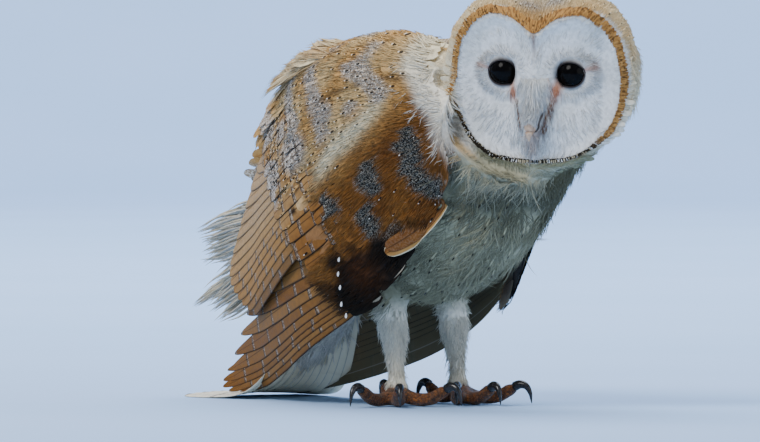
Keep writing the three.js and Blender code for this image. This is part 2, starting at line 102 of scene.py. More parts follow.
# The head's own frame and the outline of the face.
head = {
    "turn": 51, "dip": 8, "roll": 2,  # degrees
    "middle": (-11.2, -105.1, 152), "halfWidth": 45, "halfHeight": 39.5, "depth": 60,
    "eyeRadius": 8, "eyeAcross": 16.6, "eyeUp": 8.2, "eyeBehind": 11.6,
}
turnAngle, dipAngle = math.radians(head["turn"]), math.radians(head["dip"])
faceOut = np.array([-math.sin(turnAngle) * math.cos(dipAngle), -math.cos(turnAngle) * math.cos(dipAngle),
    -math.sin(dipAngle)])
levelSide = norm(np.cross([0, 0, 1], faceOut))
levelUp = np.cross(faceOut, levelSide)
faceSide = turned(levelSide, faceOut, -math.radians(head["roll"]))
faceUp = turned(levelUp, faceOut, -math.radians(head["roll"]))
faceMiddle = np.array(head["middle"], float)


def headPoint(across, up, behind):
    across, up, behind = (np.asarray(v, float)[..., None] for v in (across, up, behind))
    return faceMiddle + faceSide * across + faceUp * up - faceOut * behind


def headPlace(points):
    # Across, up and behind of points in the design frame.
    d = points - faceMiddle
    return d @ faceSide, d @ faceUp, -(d @ faceOut)


discCleft = {"depth": 11.5, "width": 15}  # the notch over the ridge, millimetres deep and degrees wide
discTrim = curve([(-180, 0.915), (-165, 0.93), (-145, 0.95), (-129, 0.93), (-90, 0.865), (-60, 0.915), (-35, 0.93),
    (-10, 0.975), (8, 1.02), (33, 1.03), (57, 1.05), (117, 1.05), (142, 0.99), (160, 0.94), (180, 0.915)])


def angleFrom(angle, start):
    # The angle from a start, between minus and plus half a turn.
    return np.arctan2(np.sin(angle - start), np.cos(angle - start))


def discEdge(angle):
    # How far the disc reaches from its middle at an angle, with the cleft at its top.
    c, s = np.cos(angle), np.sin(angle)
    away = angleFrom(angle, np.pi / 2) / math.radians(discCleft["width"])
    lobe = np.where(s > 0, 6 * np.sin(2 * angle) ** 2, 0)
    oval = 1 / np.hypot(c / head["halfWidth"], s / head["halfHeight"]) + lobe
    return oval * discTrim(np.degrees(angle)) - discCleft["depth"] * np.exp(-away * away)


def discReach(a, u):
    # A place on the disc as a share of its edge.
    return np.hypot(a, u) / discEdge(np.arctan2(u, a))


def eyeCentre(sign):
    return headPoint(sign * head["eyeAcross"], head["eyeUp"], head["eyeBehind"])


def faceRing(angle):
    # Directions round the face's own axis.
    return np.cos(angle)[:, None] * faceSide + np.sin(angle)[:, None] * faceUp


def eyeDistance(a, u):
    # How far across the face from the nearer eye's axis.
    return np.hypot(np.abs(a) - head["eyeAcross"], u - head["eyeUp"])


eyeRow = np.array(sum((np.array(c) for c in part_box("eye_left")), np.zeros(3))) / 2
rowShift = eyeRow * 1000 - headPoint(head["eyeAcross"], head["eyeUp"], head["eyeBehind"])
rowShift[2] = 0


def toRow(points):
    return (np.asarray(points, float) + rowShift) / 1000


def toDesign(points):
    return np.asarray(points, float) * 1000 - rowShift


# Wing surface, the same for both sides.
wingTop = curve([(-78, 156), (-54, 171), (-14, 179), (19, 177), (51, 170), (74, 160), (93, 146), (106, 131),
    (120, 107), (132, 86), (142, 66), (150, 50)])
wingWidest = curve([(-75, 41), (-60, 45), (-30, 50), (0, 55), (35, 55), (70, 45), (100, 33), (135, 22)])
wingMid = curve([(-75, 128), (-60, 125), (0, 105), (35, 90), (70, 70), (100, 50), (140, 25)])
wingLow = curve([(-61, 98), (-47, 79), (-22, 55), (-3, 41), (17, 28), (36, 18), (55, 10), (106, 2), (140, 1)])
wingTuck = curve([(-60, 11), (60, 11), (100, 7), (140, 1)])
leftWrist = curve([(-60, 8), (-15, 0)])
wingRidge = 10


def wingHalf(y, z):
    mid = wingMid(y)
    s = np.clip((z - mid) / (wingTop(y) - mid), 0, 0.996)
    high = wingRidge + (wingWidest(y) - wingRidge) * (1 - s**2.3) ** (1 / 2.3)
    s = np.clip((mid - z) / np.maximum(mid - wingLow(y), 8), 0, 1.02)
    low = wingWidest(y) - wingTuck(y) * s * s
    return np.where(z > mid, high, low)


def wingPoint(side, y, z, lift):
    y, z, lift = np.broadcast_arrays(*(np.asarray(v, float) for v in (y, z, lift)))
    high = np.minimum(z, wingTop(y) - 0.6)
    slopeY = (wingHalf(y + 1.5, high) - wingHalf(y - 1.5, high)) / 3
    slopeZ = (wingHalf(y, high + 1.5) - wingHalf(y, high - 1.5)) / 3
    out = norm(np.stack([np.ones_like(y), -slopeY, -slopeZ], -1))
    p = np.stack([wingHalf(y, high), y, high], -1) + out * lift[..., None]
    held = leftWrist(p[..., 1]) if side > 0 else 0
    return np.stack([side * (p[..., 0] - held), p[..., 1], np.maximum(p[..., 2], 0.8)], -1)


covertTop = spline([(-73, 151), (-50, 160), (-14, 161), (19, 157), (45, 149), (68, 137), (84, 127)])
covertLow = spline([(-77, 127), (-72, 111), (-61, 98), (-47, 80), (-30, 62), (-16, 51), (-4, 46)])
scapularTop = spline([(-76, 157), (-54, 171), (-14, 179), (19, 177), (51, 170), (74, 160), (96, 143)])
scapularCrease = spline([(-74, 152), (-50, 161), (-14, 162), (19, 158), (45, 150), (68, 138), (92, 124)])
tailPath = spline([(0, 62, 62), (0, 78, 40), (0, 92, 16), (0, 108, 3.2), (0, 132, 0.3), (0, 158, 0.2)])
legSpread = {"right": (-16, -2), "left": (22, 0)}
toeAngles = {
    "right": {"outer": 70, "middle": 34, "inner": -14, "hind": 200},
    "left": {"outer": -27, "middle": 7, "inner": 37, "hind": 172},
}
toeShare = {"outer": 0.94, "middle": 1, "inner": 0.95, "hind": 0.62}
toeLength, clawLength = 34, 15
sides = {"right": -1, "left": 1}

# Colours, as the eye sees them on a scale of 0 to 255, kept as light values.


def tone(r, g, b):
    c = np.array([r, g, b], float) / 255
    return np.where(c <= 0.04045, c / 12.92, ((c + 0.055) / 1.055) ** 2.4)


plumage = {
    "white": tone(240, 239, 236),
    # the white belly as it looks in shade, greyer and greener: painted shade
    "belly": tone(164, 160, 130),
    "cream": tone(236, 220, 182),
    "buff": tone(214, 180, 126),
    "gold": tone(192, 144, 82),
    "orange": tone(136, 88, 40),
    "rust": tone(104, 60, 28),
    "brown": tone(66, 44, 26),
    "dusk": tone(30, 24, 18),
    "shade": tone(196, 198, 194),
    "maroon": tone(118, 80, 62),
}


def blend(a, b, t):
    t = np.asarray(t, float)[..., None]
    return a * (1 - t) + b * t


def paint(count, name):
    return np.tile(plumage[name], (count, 1))


def wander(p, size, seed=0.0):
    # A soft, even random value from 0 to 1 over space, with patches of about that size.
    own = np.random.default_rng(int(seed * 100) + 7)
    total = np.zeros(len(p))
    for _ in range(7):
        way = norm(own.normal(size=3)) * own.uniform(0.7, 1.5) * 2 * np.pi / (size * 2)
        total += np.sin(p @ way + own.uniform(0, 6.28))
    return 0.5 + 0.5 * np.tanh(total / 1.9)


# Meshes.


def newMesh(name, points, faces, uv=None, values=None, soft=None):
    # One mesh object from triangles in the design frame, with point attributes.
    mesh = bpy.data.meshes.new(name)
    points, faces = toRow(points), np.asarray(faces, np.int32)
    mesh.vertices.add(len(points))
    mesh.vertices.foreach_set("co", points.astype(np.float32).ravel())
    mesh.loops.add(faces.size)
    mesh.loops.foreach_set("vertex_index", faces.ravel())
    mesh.polygons.add(len(faces))
    mesh.polygons.foreach_set("loop_start", np.arange(0, faces.size, 3, dtype=np.int32))
    mesh.update(calc_edges=True)
    mesh.polygons.foreach_set("use_smooth", np.ones(len(faces), bool) if soft is None else soft)
    if uv is not None:
        layer = mesh.uv_layers.new(name="OFBake")
        layer.data.foreach_set("uv", uv[faces.ravel()].astype(np.float32).ravel())
    for key, value in (values or {}).items():
        kind, field = ("FLOAT_COLOR", "color") if value.shape[1] == 4 else ("FLOAT_VECTOR", "vector")
        mesh.attributes.new(key, kind, "POINT").data.foreach_set(field, value.astype(np.float32).ravel())
    made = bpy.data.objects.new(name, mesh)
    bpy.context.scene.collection.objects.link(made)
    return made


def closedShape(ring, stations, soft=True):
    # A template: rings of (across, height) at each station along, drawn to a point at the last.
    k, n = len(ring), len(stations) - 1
    marks = [(a, v, h) for v in stations[:-1] for a, h in ring] + [(0, stations[-1], 0)]
    faces = []
    for i in range(n - 1):
        for j in range(k):
            a, b = i * k + j, i * k + (j + 1) % k
            faces += [(a, b, b + k), (a, b + k, a + k)]
    faces += [((n - 1) * k + j, (n - 1) * k + (j + 1) % k, n * k) for j in range(k)]
    faces += [(0, j + 1, j) for j in range(1, k - 1)]
    return np.array(marks, float), np.array(faces, int), soft


def profile(stops):
    widths = curve(stops)
    return lambda v: np.maximum(widths(v), 0.02)


vaneRing = [(-1, 0), (0, -1), (1, 0), (0, 1)]
vaneShape = closedShape(vaneRing, [0, 0.3, 0.58, 0.8, 0.94, 1], soft=False)
strandRing = [(-1, -0.5), (1, -0.5), (0, 1)]
strandShape = closedShape(strandRing, [0, 0.4, 0.75, 1])
barbShape = closedShape(strandRing, [0, 0.5, 1])
plumeShape = closedShape(strandRing, [*np.linspace(0, 0.88, 8), 1])
quillRing = [(-1, 0), *((a, -1) for a in (-0.93, -0.3, 0.3, 0.93)), (1, 0)]
quillRing += [(a, 1) for a in (0.93, 0.5, 0.07, 0, -0.07, -0.5, -0.93)]
quillShape = closedShape(quillRing, [*np.linspace(0, 0.94, 22), 0.965, 0.985, 0.995, 1])
featherWidth = profile([(0, 0.3), (0.3, 0.85), (0.58, 1), (0.8, 0.9), (0.94, 0.5), (1, 0.02)])
strandWidth = profile([(0, 0.8), (0.4, 1), (0.75, 0.6), (1, 0.02)])
quillWidth = profile([(0, 0.5), (0.15, 0.85), (0.5, 1), (0.85, 0.95), (0.94, 0.8), (0.965, 0.65), (0.985, 0.45),
    (0.995, 0.26), (1, 0.02)])
primaryWidth = profile([(0, 0.6), (0.15, 0.9), (0.5, 1), (0.75, 0.86), (0.85, 0.66), (0.94, 0.4), (0.965, 0.3),
    (0.985, 0.18), (0.995, 0.1), (1, 0.02)])


bakePatch = 0.0015  # half a feather's width on the baked picture


class Coat:
    # Gathers closed feathers, then makes them one mesh.

    def __init__(self, name):
        self.name, self.points, self.faces, self.uv, self.soft = name, [], [], [], []
        self.values = {key: [] for key in ("tint", "marks", "place", "shape", "size")}
        self.count = 0

    def add(self, shape, points, tint, length, width, uvRoot, pepper=0, dot=0, bars=0, edge=0, dark=0, pale=0,
        uvPlace=None):
        # points is (feathers, template points, 3); the marks are one number or one per feather.
        template, faces, soft = shape
        n, v = points.shape[:2]
        full = lambda q: q if np.shape(q) == (n, v) else np.broadcast_to(np.asarray(q, float).reshape(-1, 1), (n, v))
        stack = lambda *columns: np.stack([full(c) for c in columns], -1)
        a, along, height = (np.tile(template[:, k], (n, 1)) for k in range(3))
        tint = np.asarray(tint, float)
        tint = tint if tint.ndim == 3 else np.repeat(tint[:, None, :], v, 1)
        store = {
            "tint": np.concatenate([tint, full(dark)[..., None]], -1),
            "marks": stack(pepper, dot, bars, edge),
            "place": np.stack([a * full(width), along * full(length), full(dice.random(n) * 97)], -1),
            "shape": np.stack([a, along, (height < 0) * 1.0], -1),
            "size": stack(length, width, pale),
        }
        for key, value in store.items():
            self.values[key].append(value.reshape(-1, value.shape[-1]))
        spot = np.stack([a, along * 2 - 1], -1) * bakePatch if uvPlace is None else uvPlace
        root = np.zeros((n, 2)) if uvRoot is None else uvRoot
        self.uv.append(np.clip(root[:, None, :] + spot, 0.001, 0.999).reshape(-1, 2))
        self.points.append(points.reshape(-1, 3))
        self.soft.append(np.full(n * len(faces), soft))
        self.faces.append((faces[None] + (self.count + np.arange(n) * v)[:, None, None]).reshape(-1, 3))
        self.count += n * v

    def make(self, material, replaced=()):
        values = {key: np.concatenate(v) for key, v in self.values.items()}
        made = newMesh(self.name, np.concatenate(self.points), np.concatenate(self.faces), np.concatenate(self.uv),
            values, np.concatenate(self.soft))
        made.data.materials.append(material)
        finishPiece(made, replaced)
        print(self.name, sum(len(f) for f in self.faces), "triangles")
        return made


def finishPiece(made, replaced=()):
    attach(made, "root")
    if replaced:
        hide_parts(*replaced)


dice = np.random.default_rng(20)

# Skin: the flesh solids become one closed surface, smoothed and drawn in by the coat's depth.
skinLook = {
    "voxel": 0.0016, "smoothing": 14, "shrink": 0.6, "regrow": 0.52,
    "bodyDepth": 2.2, "faceDepth": 1.3, "legDepth": 1.2,
}
fleshNodes = ["head", "facial_disc", "neck", "trunk", "mantle", "tail_coverts"]
fleshNodes += [f"{part}_{side}" for part in ("scapulars", "coverts", "thigh", "tarsus") for side in sides]
toeNodes = [f"toe_{toe}_{side}" for side in sides for toe in toeShare]


def nodeMesh(names):
    points, faces, labels, start = [], [], [], 0
    for i, name in enumerate(names):
        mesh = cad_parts[name].data
        mesh.calc_loop_triangles()
        points += [tuple(v.co) for v in mesh.vertices]
        faces += [tuple(start + k for k in t.vertices) for t in mesh.loop_triangles]
        labels += [i] * len(mesh.loop_triangles)
        start = len(points)
    return points, faces, np.array(labels)


fleshNames = fleshNodes + toeNodes
cadPoints, cadFaces, cadLabels = nodeMesh(fleshNames)
cadTree = BVHTree.FromPolygons(cadPoints, cadFaces)


def buildSkin():
    mesh = bpy.data.meshes.new("skinDraft")
    mesh.from_pydata(cadPoints, [], cadFaces)
    draft = bpy.data.objects.new("skinDraft", mesh)
    bpy.context.scene.collection.objects.link(draft)
    remesh = draft.modifiers.new("remesh", "REMESH")
    remesh.mode, remesh.voxel_size = "VOXEL", skinLook["voxel"]
    whole = draft.evaluated_get(bpy.context.evaluated_depsgraph_get()).to_mesh()
    p = np.zeros(len(whole.vertices) * 3)
    whole.vertices.foreach_get("co", p)
    whole.calc_loop_triangles()
    f = np.zeros(len(whole.loop_triangles) * 3, np.int32)
    whole.loop_triangles.foreach_get("vertices", f)
    e = np.zeros(len(whole.edges) * 2, np.int32)
    whole.edges.foreach_get("vertices", e)
    p, f, e = toDesign(p.reshape(-1, 3)), f.reshape(-1, 3), e.reshape(-1, 2)
    bpy.data.objects.remove(draft)
    p, f, e = largestPiece(p, f, e)
    degree = np.maximum(np.bincount(e.ravel(), minlength=len(p)), 1)[:, None]

    def averaged(q):
        total = np.zeros_like(q)
        for k in range(q.shape[1]):
            total[:, k] = np.bincount(e[:, 0], q[e[:, 1], k], len(q)) + np.bincount(e[:, 1], q[e[:, 0], k], len(q))
        return total / degree

    for _ in range(skinLook["smoothing"]):
        p = p + skinLook["shrink"] * (averaged(p) - p)
        p = p - skinLook["regrow"] * (averaged(p) - p)
    return p, f, averaged


def largestPiece(p, f, e):
    # Keeps the connected piece with the most points.
    label = np.arange(len(p))
    while True:
        low = np.minimum(label[e[:, 0]], label[e[:, 1]])
        new = label.copy()
        np.minimum.at(new, e[:, 0], low)
        np.minimum.at(new, e[:, 1], low)
        new = new[new]
        if (new == label).all():
            break
        label = new
    keep = label == np.bincount(label).argmax()
    print("skin pieces", len(np.unique(label)), "kept", keep.sum(), "of", len(p))
    index = np.cumsum(keep) - 1
    f = f[keep[f[:, 0]]]
    e = e[keep[e[:, 0]]]
    return p[keep], index[f], index[e]


def pointNormals(p, f):
    n = np.cross(p[f[:, 1]] - p[f[:, 0]], p[f[:, 2]] - p[f[:, 0]])
    total = np.zeros_like(p)
    for k in range(3):
        for j in range(3):
            total[:, j] += np.bincount(f[:, k], n[:, j], len(p))
    return norm(total)


skinPoints, skinFaces, averaged = buildSkin()
skinNormals = pointNormals(skinPoints, skinFaces)


def coatDepth(p):
    a, u, b = headPlace(p)
    face = smooth(20, 12, b) * (p[:, 2] > 100)
    leg = smooth(60, 46, p[:, 2]) * smooth(60, 40, p[:, 1]) * (np.abs(p[:, 0]) < 40)
    foot = smooth(16, 11, p[:, 2]) * smooth(60, 50, p[:, 1])
    depth = lerp(skinLook["bodyDepth"], skinLook["faceDepth"], face)
    eye = eyeDistance(a, u)
    depth = depth * lerp(1, smooth(8, 13, eye), face)
    depth = lerp(depth, skinLook["legDepth"], leg)
    cheek = smooth(26, 36, a) * smooth(2, 7, b) * smooth(44, 34, b) * smooth(42, 30, np.abs(u))
    depth = depth + 3.2 * cheek
    return depth * (1 - foot)


def roomInside(p, normals, reach):
    # How thick the body is under each point, as far as it matters.
    tree = BVHTree.FromPolygons([tuple(q) for q in p], [tuple(f) for f in skinFaces])
    thick = np.full(len(p), reach)
    for i in range(len(p)):
        hit = tree.ray_cast(Vector(p[i] - normals[i] * 0.05), Vector(-normals[i]), reach)
        if hit[0] is not None:
            thick[i] = hit[3]
    return thick


skinThick = averaged(averaged(roomInside(skinPoints, skinNormals, 9.0)[:, None]))
depth = np.minimum(coatDepth(skinPoints), 0.3 * skinThick[:, 0])
skinPoints = skinPoints - skinNormals * depth[:, None]
for _ in range(2):
    near = smooth(20, 26, skinPoints[:, 2])[:, None]
    skinPoints = skinPoints + 0.5 * near * (averaged(skinPoints) - skinPoints)
skinNormals = pointNormals(skinPoints, skinFaces)
print("skin", len(skinFaces), "triangles")

# The skin's own unwrap gives every feather its place on the baked picture.


def unwrapped(points, faces):
    draft = newMesh("unwrapDraft", points, faces)
    bpy.context.view_layer.objects.active = draft
    draft.select_set(True)
    bpy.ops.object.mode_set(mode="EDIT")
    bpy.ops.mesh.select_all(action="SELECT")
    bpy.ops.uv.smart_project(angle_limit=math.radians(66), island_margin=0.001)
    bpy.ops.object.mode_set(mode="OBJECT")
    layer = draft.data.uv_layers.active
    uv = np.zeros(len(draft.data.loops) * 2)
    layer.data.foreach_get("uv", uv)
    bpy.data.objects.remove(draft)
    return uv.reshape(-1, 3, 2)


skinUv = unwrapped(skinPoints, skinFaces)
skinTree = BVHTree.FromPolygons([tuple(p) for p in skinPoints], [tuple(f) for f in skinFaces])
faceMiddles = skinPoints[skinFaces].mean(1)
faceNormals = norm(skinNormals[skinFaces].mean(1))
groupOf = {"facial_disc": "face", "head": "head", "neck": "body", "trunk": "body", "mantle": "mantle",
    "tail_coverts": "rump"}


def groupsAt(points):
    # The kind of plumage nearest each design point, by the CAD solid it belongs to.
    found = []
    for p in toRow(points):
        index = cadTree.find_nearest(Vector(p))[2]
        found.append(fleshNames[cadLabels[index]])
    kinds = {name: groupOf.get(name, name.split("_")[0]) for name in fleshNames}
    return np.array([kinds[n] for n in found])


faceGroups = groupsAt(faceMiddles)
print("unwrapped", dict(zip(*np.unique(faceGroups, return_counts=True))))


def onSkin(points):
    # Nearest skin points, normals and unwrap places.
    near, normal, uv = np.zeros_like(points), np.zeros_like(points), np.zeros((len(points), 2))
    for i, p in enumerate(points):
        spot, _, index, _ = skinTree.find_nearest(Vector(p))
        near[i], normal[i], uv[i] = spot, faceNormals[index], skinUv[index].mean(0)
    return near, normal, uv


def scatter(chosen, spacing):
    # Evenly scattered roots over the chosen skin faces.
    faces = np.flatnonzero(chosen)
    corners = skinPoints[skinFaces[faces]]
    area = np.linalg.norm(np.cross(corners[:, 1] - corners[:, 0], corners[:, 2] - corners[:, 0]), axis=1) / 2
    count = int(area.sum() / spacing**2 * 5)
    pick = dice.choice(len(faces), count, p=area / area.sum())
    r1, r2 = np.sqrt(dice.random(count)), dice.random(count)
    weights = np.stack([1 - r1, r1 * (1 - r2), r1 * r2], -1)
    points = (corners[pick] * weights[:, :, None]).sum(1)
    tree, kept = KDTree(count), []
    for i, p in enumerate(points):
        tree.insert(p, i)
    tree.balance()
    open_ = np.ones(count, bool)
    for i, p in enumerate(points):
        if open_[i]:
            kept.append(i)
            for _, j, _ in tree.find_range(p, spacing * 0.86):
                open_[j] = False
    kept = np.array(kept)
    index = faces[pick[kept]]
    weights = weights[kept]
    normals = norm((skinNormals[skinFaces[index]] * weights[:, :, None]).sum(1))
    uv = (skinUv[index] * weights[:, :, None]).sum(1)
    return points[kept], normals, uv, faceGroups[index]


def tangent(way, normals):
    way = np.broadcast_to(np.asarray(way, float), normals.shape)
    return norm(way - normals * (way * normals).sum(-1, keepdims=True))


# Markings: the same rules colour the skin and the feathers that grow from it.
# where the neck's pale feathers end, by height
neckEdge = curve([(120, -78), (130, -73), (140, -67), (147, -57), (155, -46), (163, -38), (171, -32), (181, -27)])
wingMarks = {
    "bandPoint": (-20, 133), "bandWay": (0.794, -0.607),  # the pale band across the coverts
    "dark": [(-55, 126, 8.5), (-29, 112, 8.5), (-61, 110, 9), (-55, 118, 7), (-2, 96, 6.5), (-27, 89, 8),
        (-42, 83, 7), (-35, 79, 7)],
    "pale": [(30, 122, 14), (8, 140, 9), (50, 132, 8), (-30, 150, 7), (62, 112, 7)],
    "black": [(27, 94, 2.6), (45, 81, 2.6)],
    # the fold over the shoulder, where shade is painted: its height by place along
    "shadedFold": curve([(-60, 161), (-50, 159.5), (-6, 153), (20, 145), (40, 138)]),
}


def wingTint(y, z):
    # Colour and marks of the upper wing at a place on its side view.
    point, way = wingMarks["bandPoint"], wingMarks["bandWay"]
    above = (y - point[0]) * -way[1] + (z - point[1]) * way[0]
    p = np.stack([y, z, y * 0], -1)
    tint = blend(plumage["orange"], plumage["rust"], 0.55 * wander(p, 9, 1) * smooth(-4, -30, y))
    tint = blend(tint, plumage["gold"], smooth(-14, 10, y) * 0.1)
    upper = blend(plumage["buff"], plumage["gold"], wander(p, 12, 2) * 0.9)
    tint = blend(tint, upper, smooth(-9, -2, above))
    tint = blend(tint, plumage["cream"], bell(above, 1, 5) * smooth(-40, -26, y) * (0.25 + 0.75 * smooth(14, -2, y)))
    tint = blend(tint, plumage["gold"], 0.7 * bell(above, 2, 7) * smooth(0, 14, y))
    tint = blend(tint, plumage["gold"], 0.55 * bell(above, -8, 6) * (0.4 + 0.6 * wander(p, 11, 22)))
    # Painted shade: brown along the fold over the shoulder.
    shadedFold = np.abs(z - wingMarks["shadedFold"](y) + 2 * (wander(p, 7, 20) - 0.5))
    tint = blend(tint, plumage["brown"], 0.6 * bell(shadedFold, 0, 1.5) * smooth(-56, -44, y) * smooth(30, 16, y))
    ragged = 5 * (wander(p, 6, 18) - 0.5)
    top = z + 0.34 * (y + 36) + ragged
    front = smooth(88, 80, top) * smooth(5, -2, y + ragged)
    rear = 0.8 * smooth(66, 56, z + ragged) * smooth(28, 18, y)
    hand = np.maximum(front, rear) * smooth(-66, -52, y)
    glow = 0.4 * np.exp(-(((y + 16) / 9) ** 2) - ((z - 66) / 9) ** 2)
    tint = blend(tint, blend(plumage["dusk"], plumage["rust"], glow), hand)
    pepper, dark = np.zeros(len(y)), np.zeros(len(y))
    for cy, cz, r in wingMarks["dark"]:
        away = np.hypot(y - cy, z - cz) + 5 * (wander(p, 4.5, 19) - 0.5)
        pepper = np.maximum(pepper, smooth(r * 1.08, r * 0.85, away))
        dark = np.maximum(dark, smooth(r * 1.5, r * 1.2, away))
    for cy, cz, r in wingMarks["pale"]:
        inside = smooth(r * 1.2, r * 0.6, np.hypot(y - cy, (z - cz) * 1.3)) * 0.9
        dark = np.where(inside > pepper, 0.12, dark)
        pepper = np.maximum(pepper, inside)
    loose = smooth(0.62, 0.8, wander(p, 10, 3)) * smooth(6, 14, above) * 0.85
    pepper = np.maximum(pepper, loose)
    for cy, cz, r in wingMarks["black"]:
        tint = blend(tint, plumage["dusk"], smooth(r * 1.2, r * 0.8, np.hypot(y - cy, z - cz)))
    neck = smooth(5, -5, y - neckEdge(z) + 4 * (wander(p, 8, 14) - 0.5))
    tint = blend(tint, blend(plumage["white"], plumage["cream"], 0.45 + 0.4 * smooth(150, 172, z)), neck)
    pepper = pepper * (1 - neck) * (1 - hand)
    return tint, pepper, smooth(-2, 8, above) * (1 - 0.6 * neck), dark


rustSpots = [(-10.9, -0.6, 1.6, 4.2, 1.2), (10.3, 1.0, 2.3, 3.6, 1.2), (8.6, -2.5, 1.8, 2.6, 0.8),
    (25.6, 11, 2.4, 1.2, 0.6), (-25.4, 10.5, 3, 1.1, 0.5)]
billLines = [((-10.2, -3), (-4.4, -17), 0.5, 0.6), ((10.2, -4), (3.4, -20), 0.95, 1.1)]  # ends, strength, width


def rimTint(angle, p):
    # Colour of the ruff round the face: gold above, dark-beaded below.
    s = np.sin(angle)
    warm = blend(plumage["gold"], plumage["rust"], 0.15 + 0.5 * wander(p, 2.5, 16))
    below = blend(plumage["cream"], plumage["brown"], 0.4 + 0.5 * wander(p, 2.0, 17))
    return blend(warm, below, smooth(-0.1, -0.75, s))


def lineDistance(a, u, start, end):
    start, end = np.array(start, float), np.array(end, float)
    way = end - start
    t = np.clip(((a - start[0]) * way[0] + (u - start[1]) * way[1]) / (way @ way), 0, 1)
    return np.hypot(a - start[0] - way[0] * t, u - start[1] - way[1] * t)


def faceTint(a, u):
    # Colour of the facial disc across and up from its middle.
    p = np.stack([a, u, a * 0], -1)
    tint = blend(plumage["white"], plumage["shade"], 0.45 * wander(p, 13, 4))
    eye = eyeDistance(a, u)
    tint = blend(tint, plumage["brown"], 0.7 * smooth(8.6, 6.6, eye))
    # Painted shade: grey above the eyes.
    shadeAboveEyes = 0.3 * smooth(15, 8, eye) * smooth(6, 14, u)
    tint = blend(tint, tone(120, 118, 112), shadeAboveEyes)
    for ca, cu, wa, wu, strength in rustSpots:
        rust = strength * np.exp(-(((a - ca) / wa) ** 2) - ((u - cu) / wu) ** 2)
        tint = blend(tint, tone(186, 98, 22), np.minimum(rust, 1) * 0.9)
    for start, end, strength, width in billLines:
        line = strength * np.exp(-((lineDistance(a, u, start, end) / width) ** 2))
        tint = blend(tint, plumage["maroon"], line * (0.55 + 0.45 * wander(p, 1.6, 5)))
    cleft = bell(a, 0, 0.9) * smooth(10, 27, u) * 0.9
    tint = blend(tint, plumage["rust"], cleft)
    tint = blend(tint, plumage["maroon"], 0.6 * np.exp(-(((a + 4.4) / 1.2) ** 2) - ((u + 9.4) / 1) ** 2))
    tint = blend(tint, tone(206, 164, 140), 0.5 * np.exp(-((a / 3.0) ** 2) - ((u + 21) / 5) ** 2))
    tint = blend(tint, plumage["rust"], 0.4 * bell(a, -0.4, 0.8) * smooth(-22, -24, u) * smooth(-33, -27, u))
    return tint


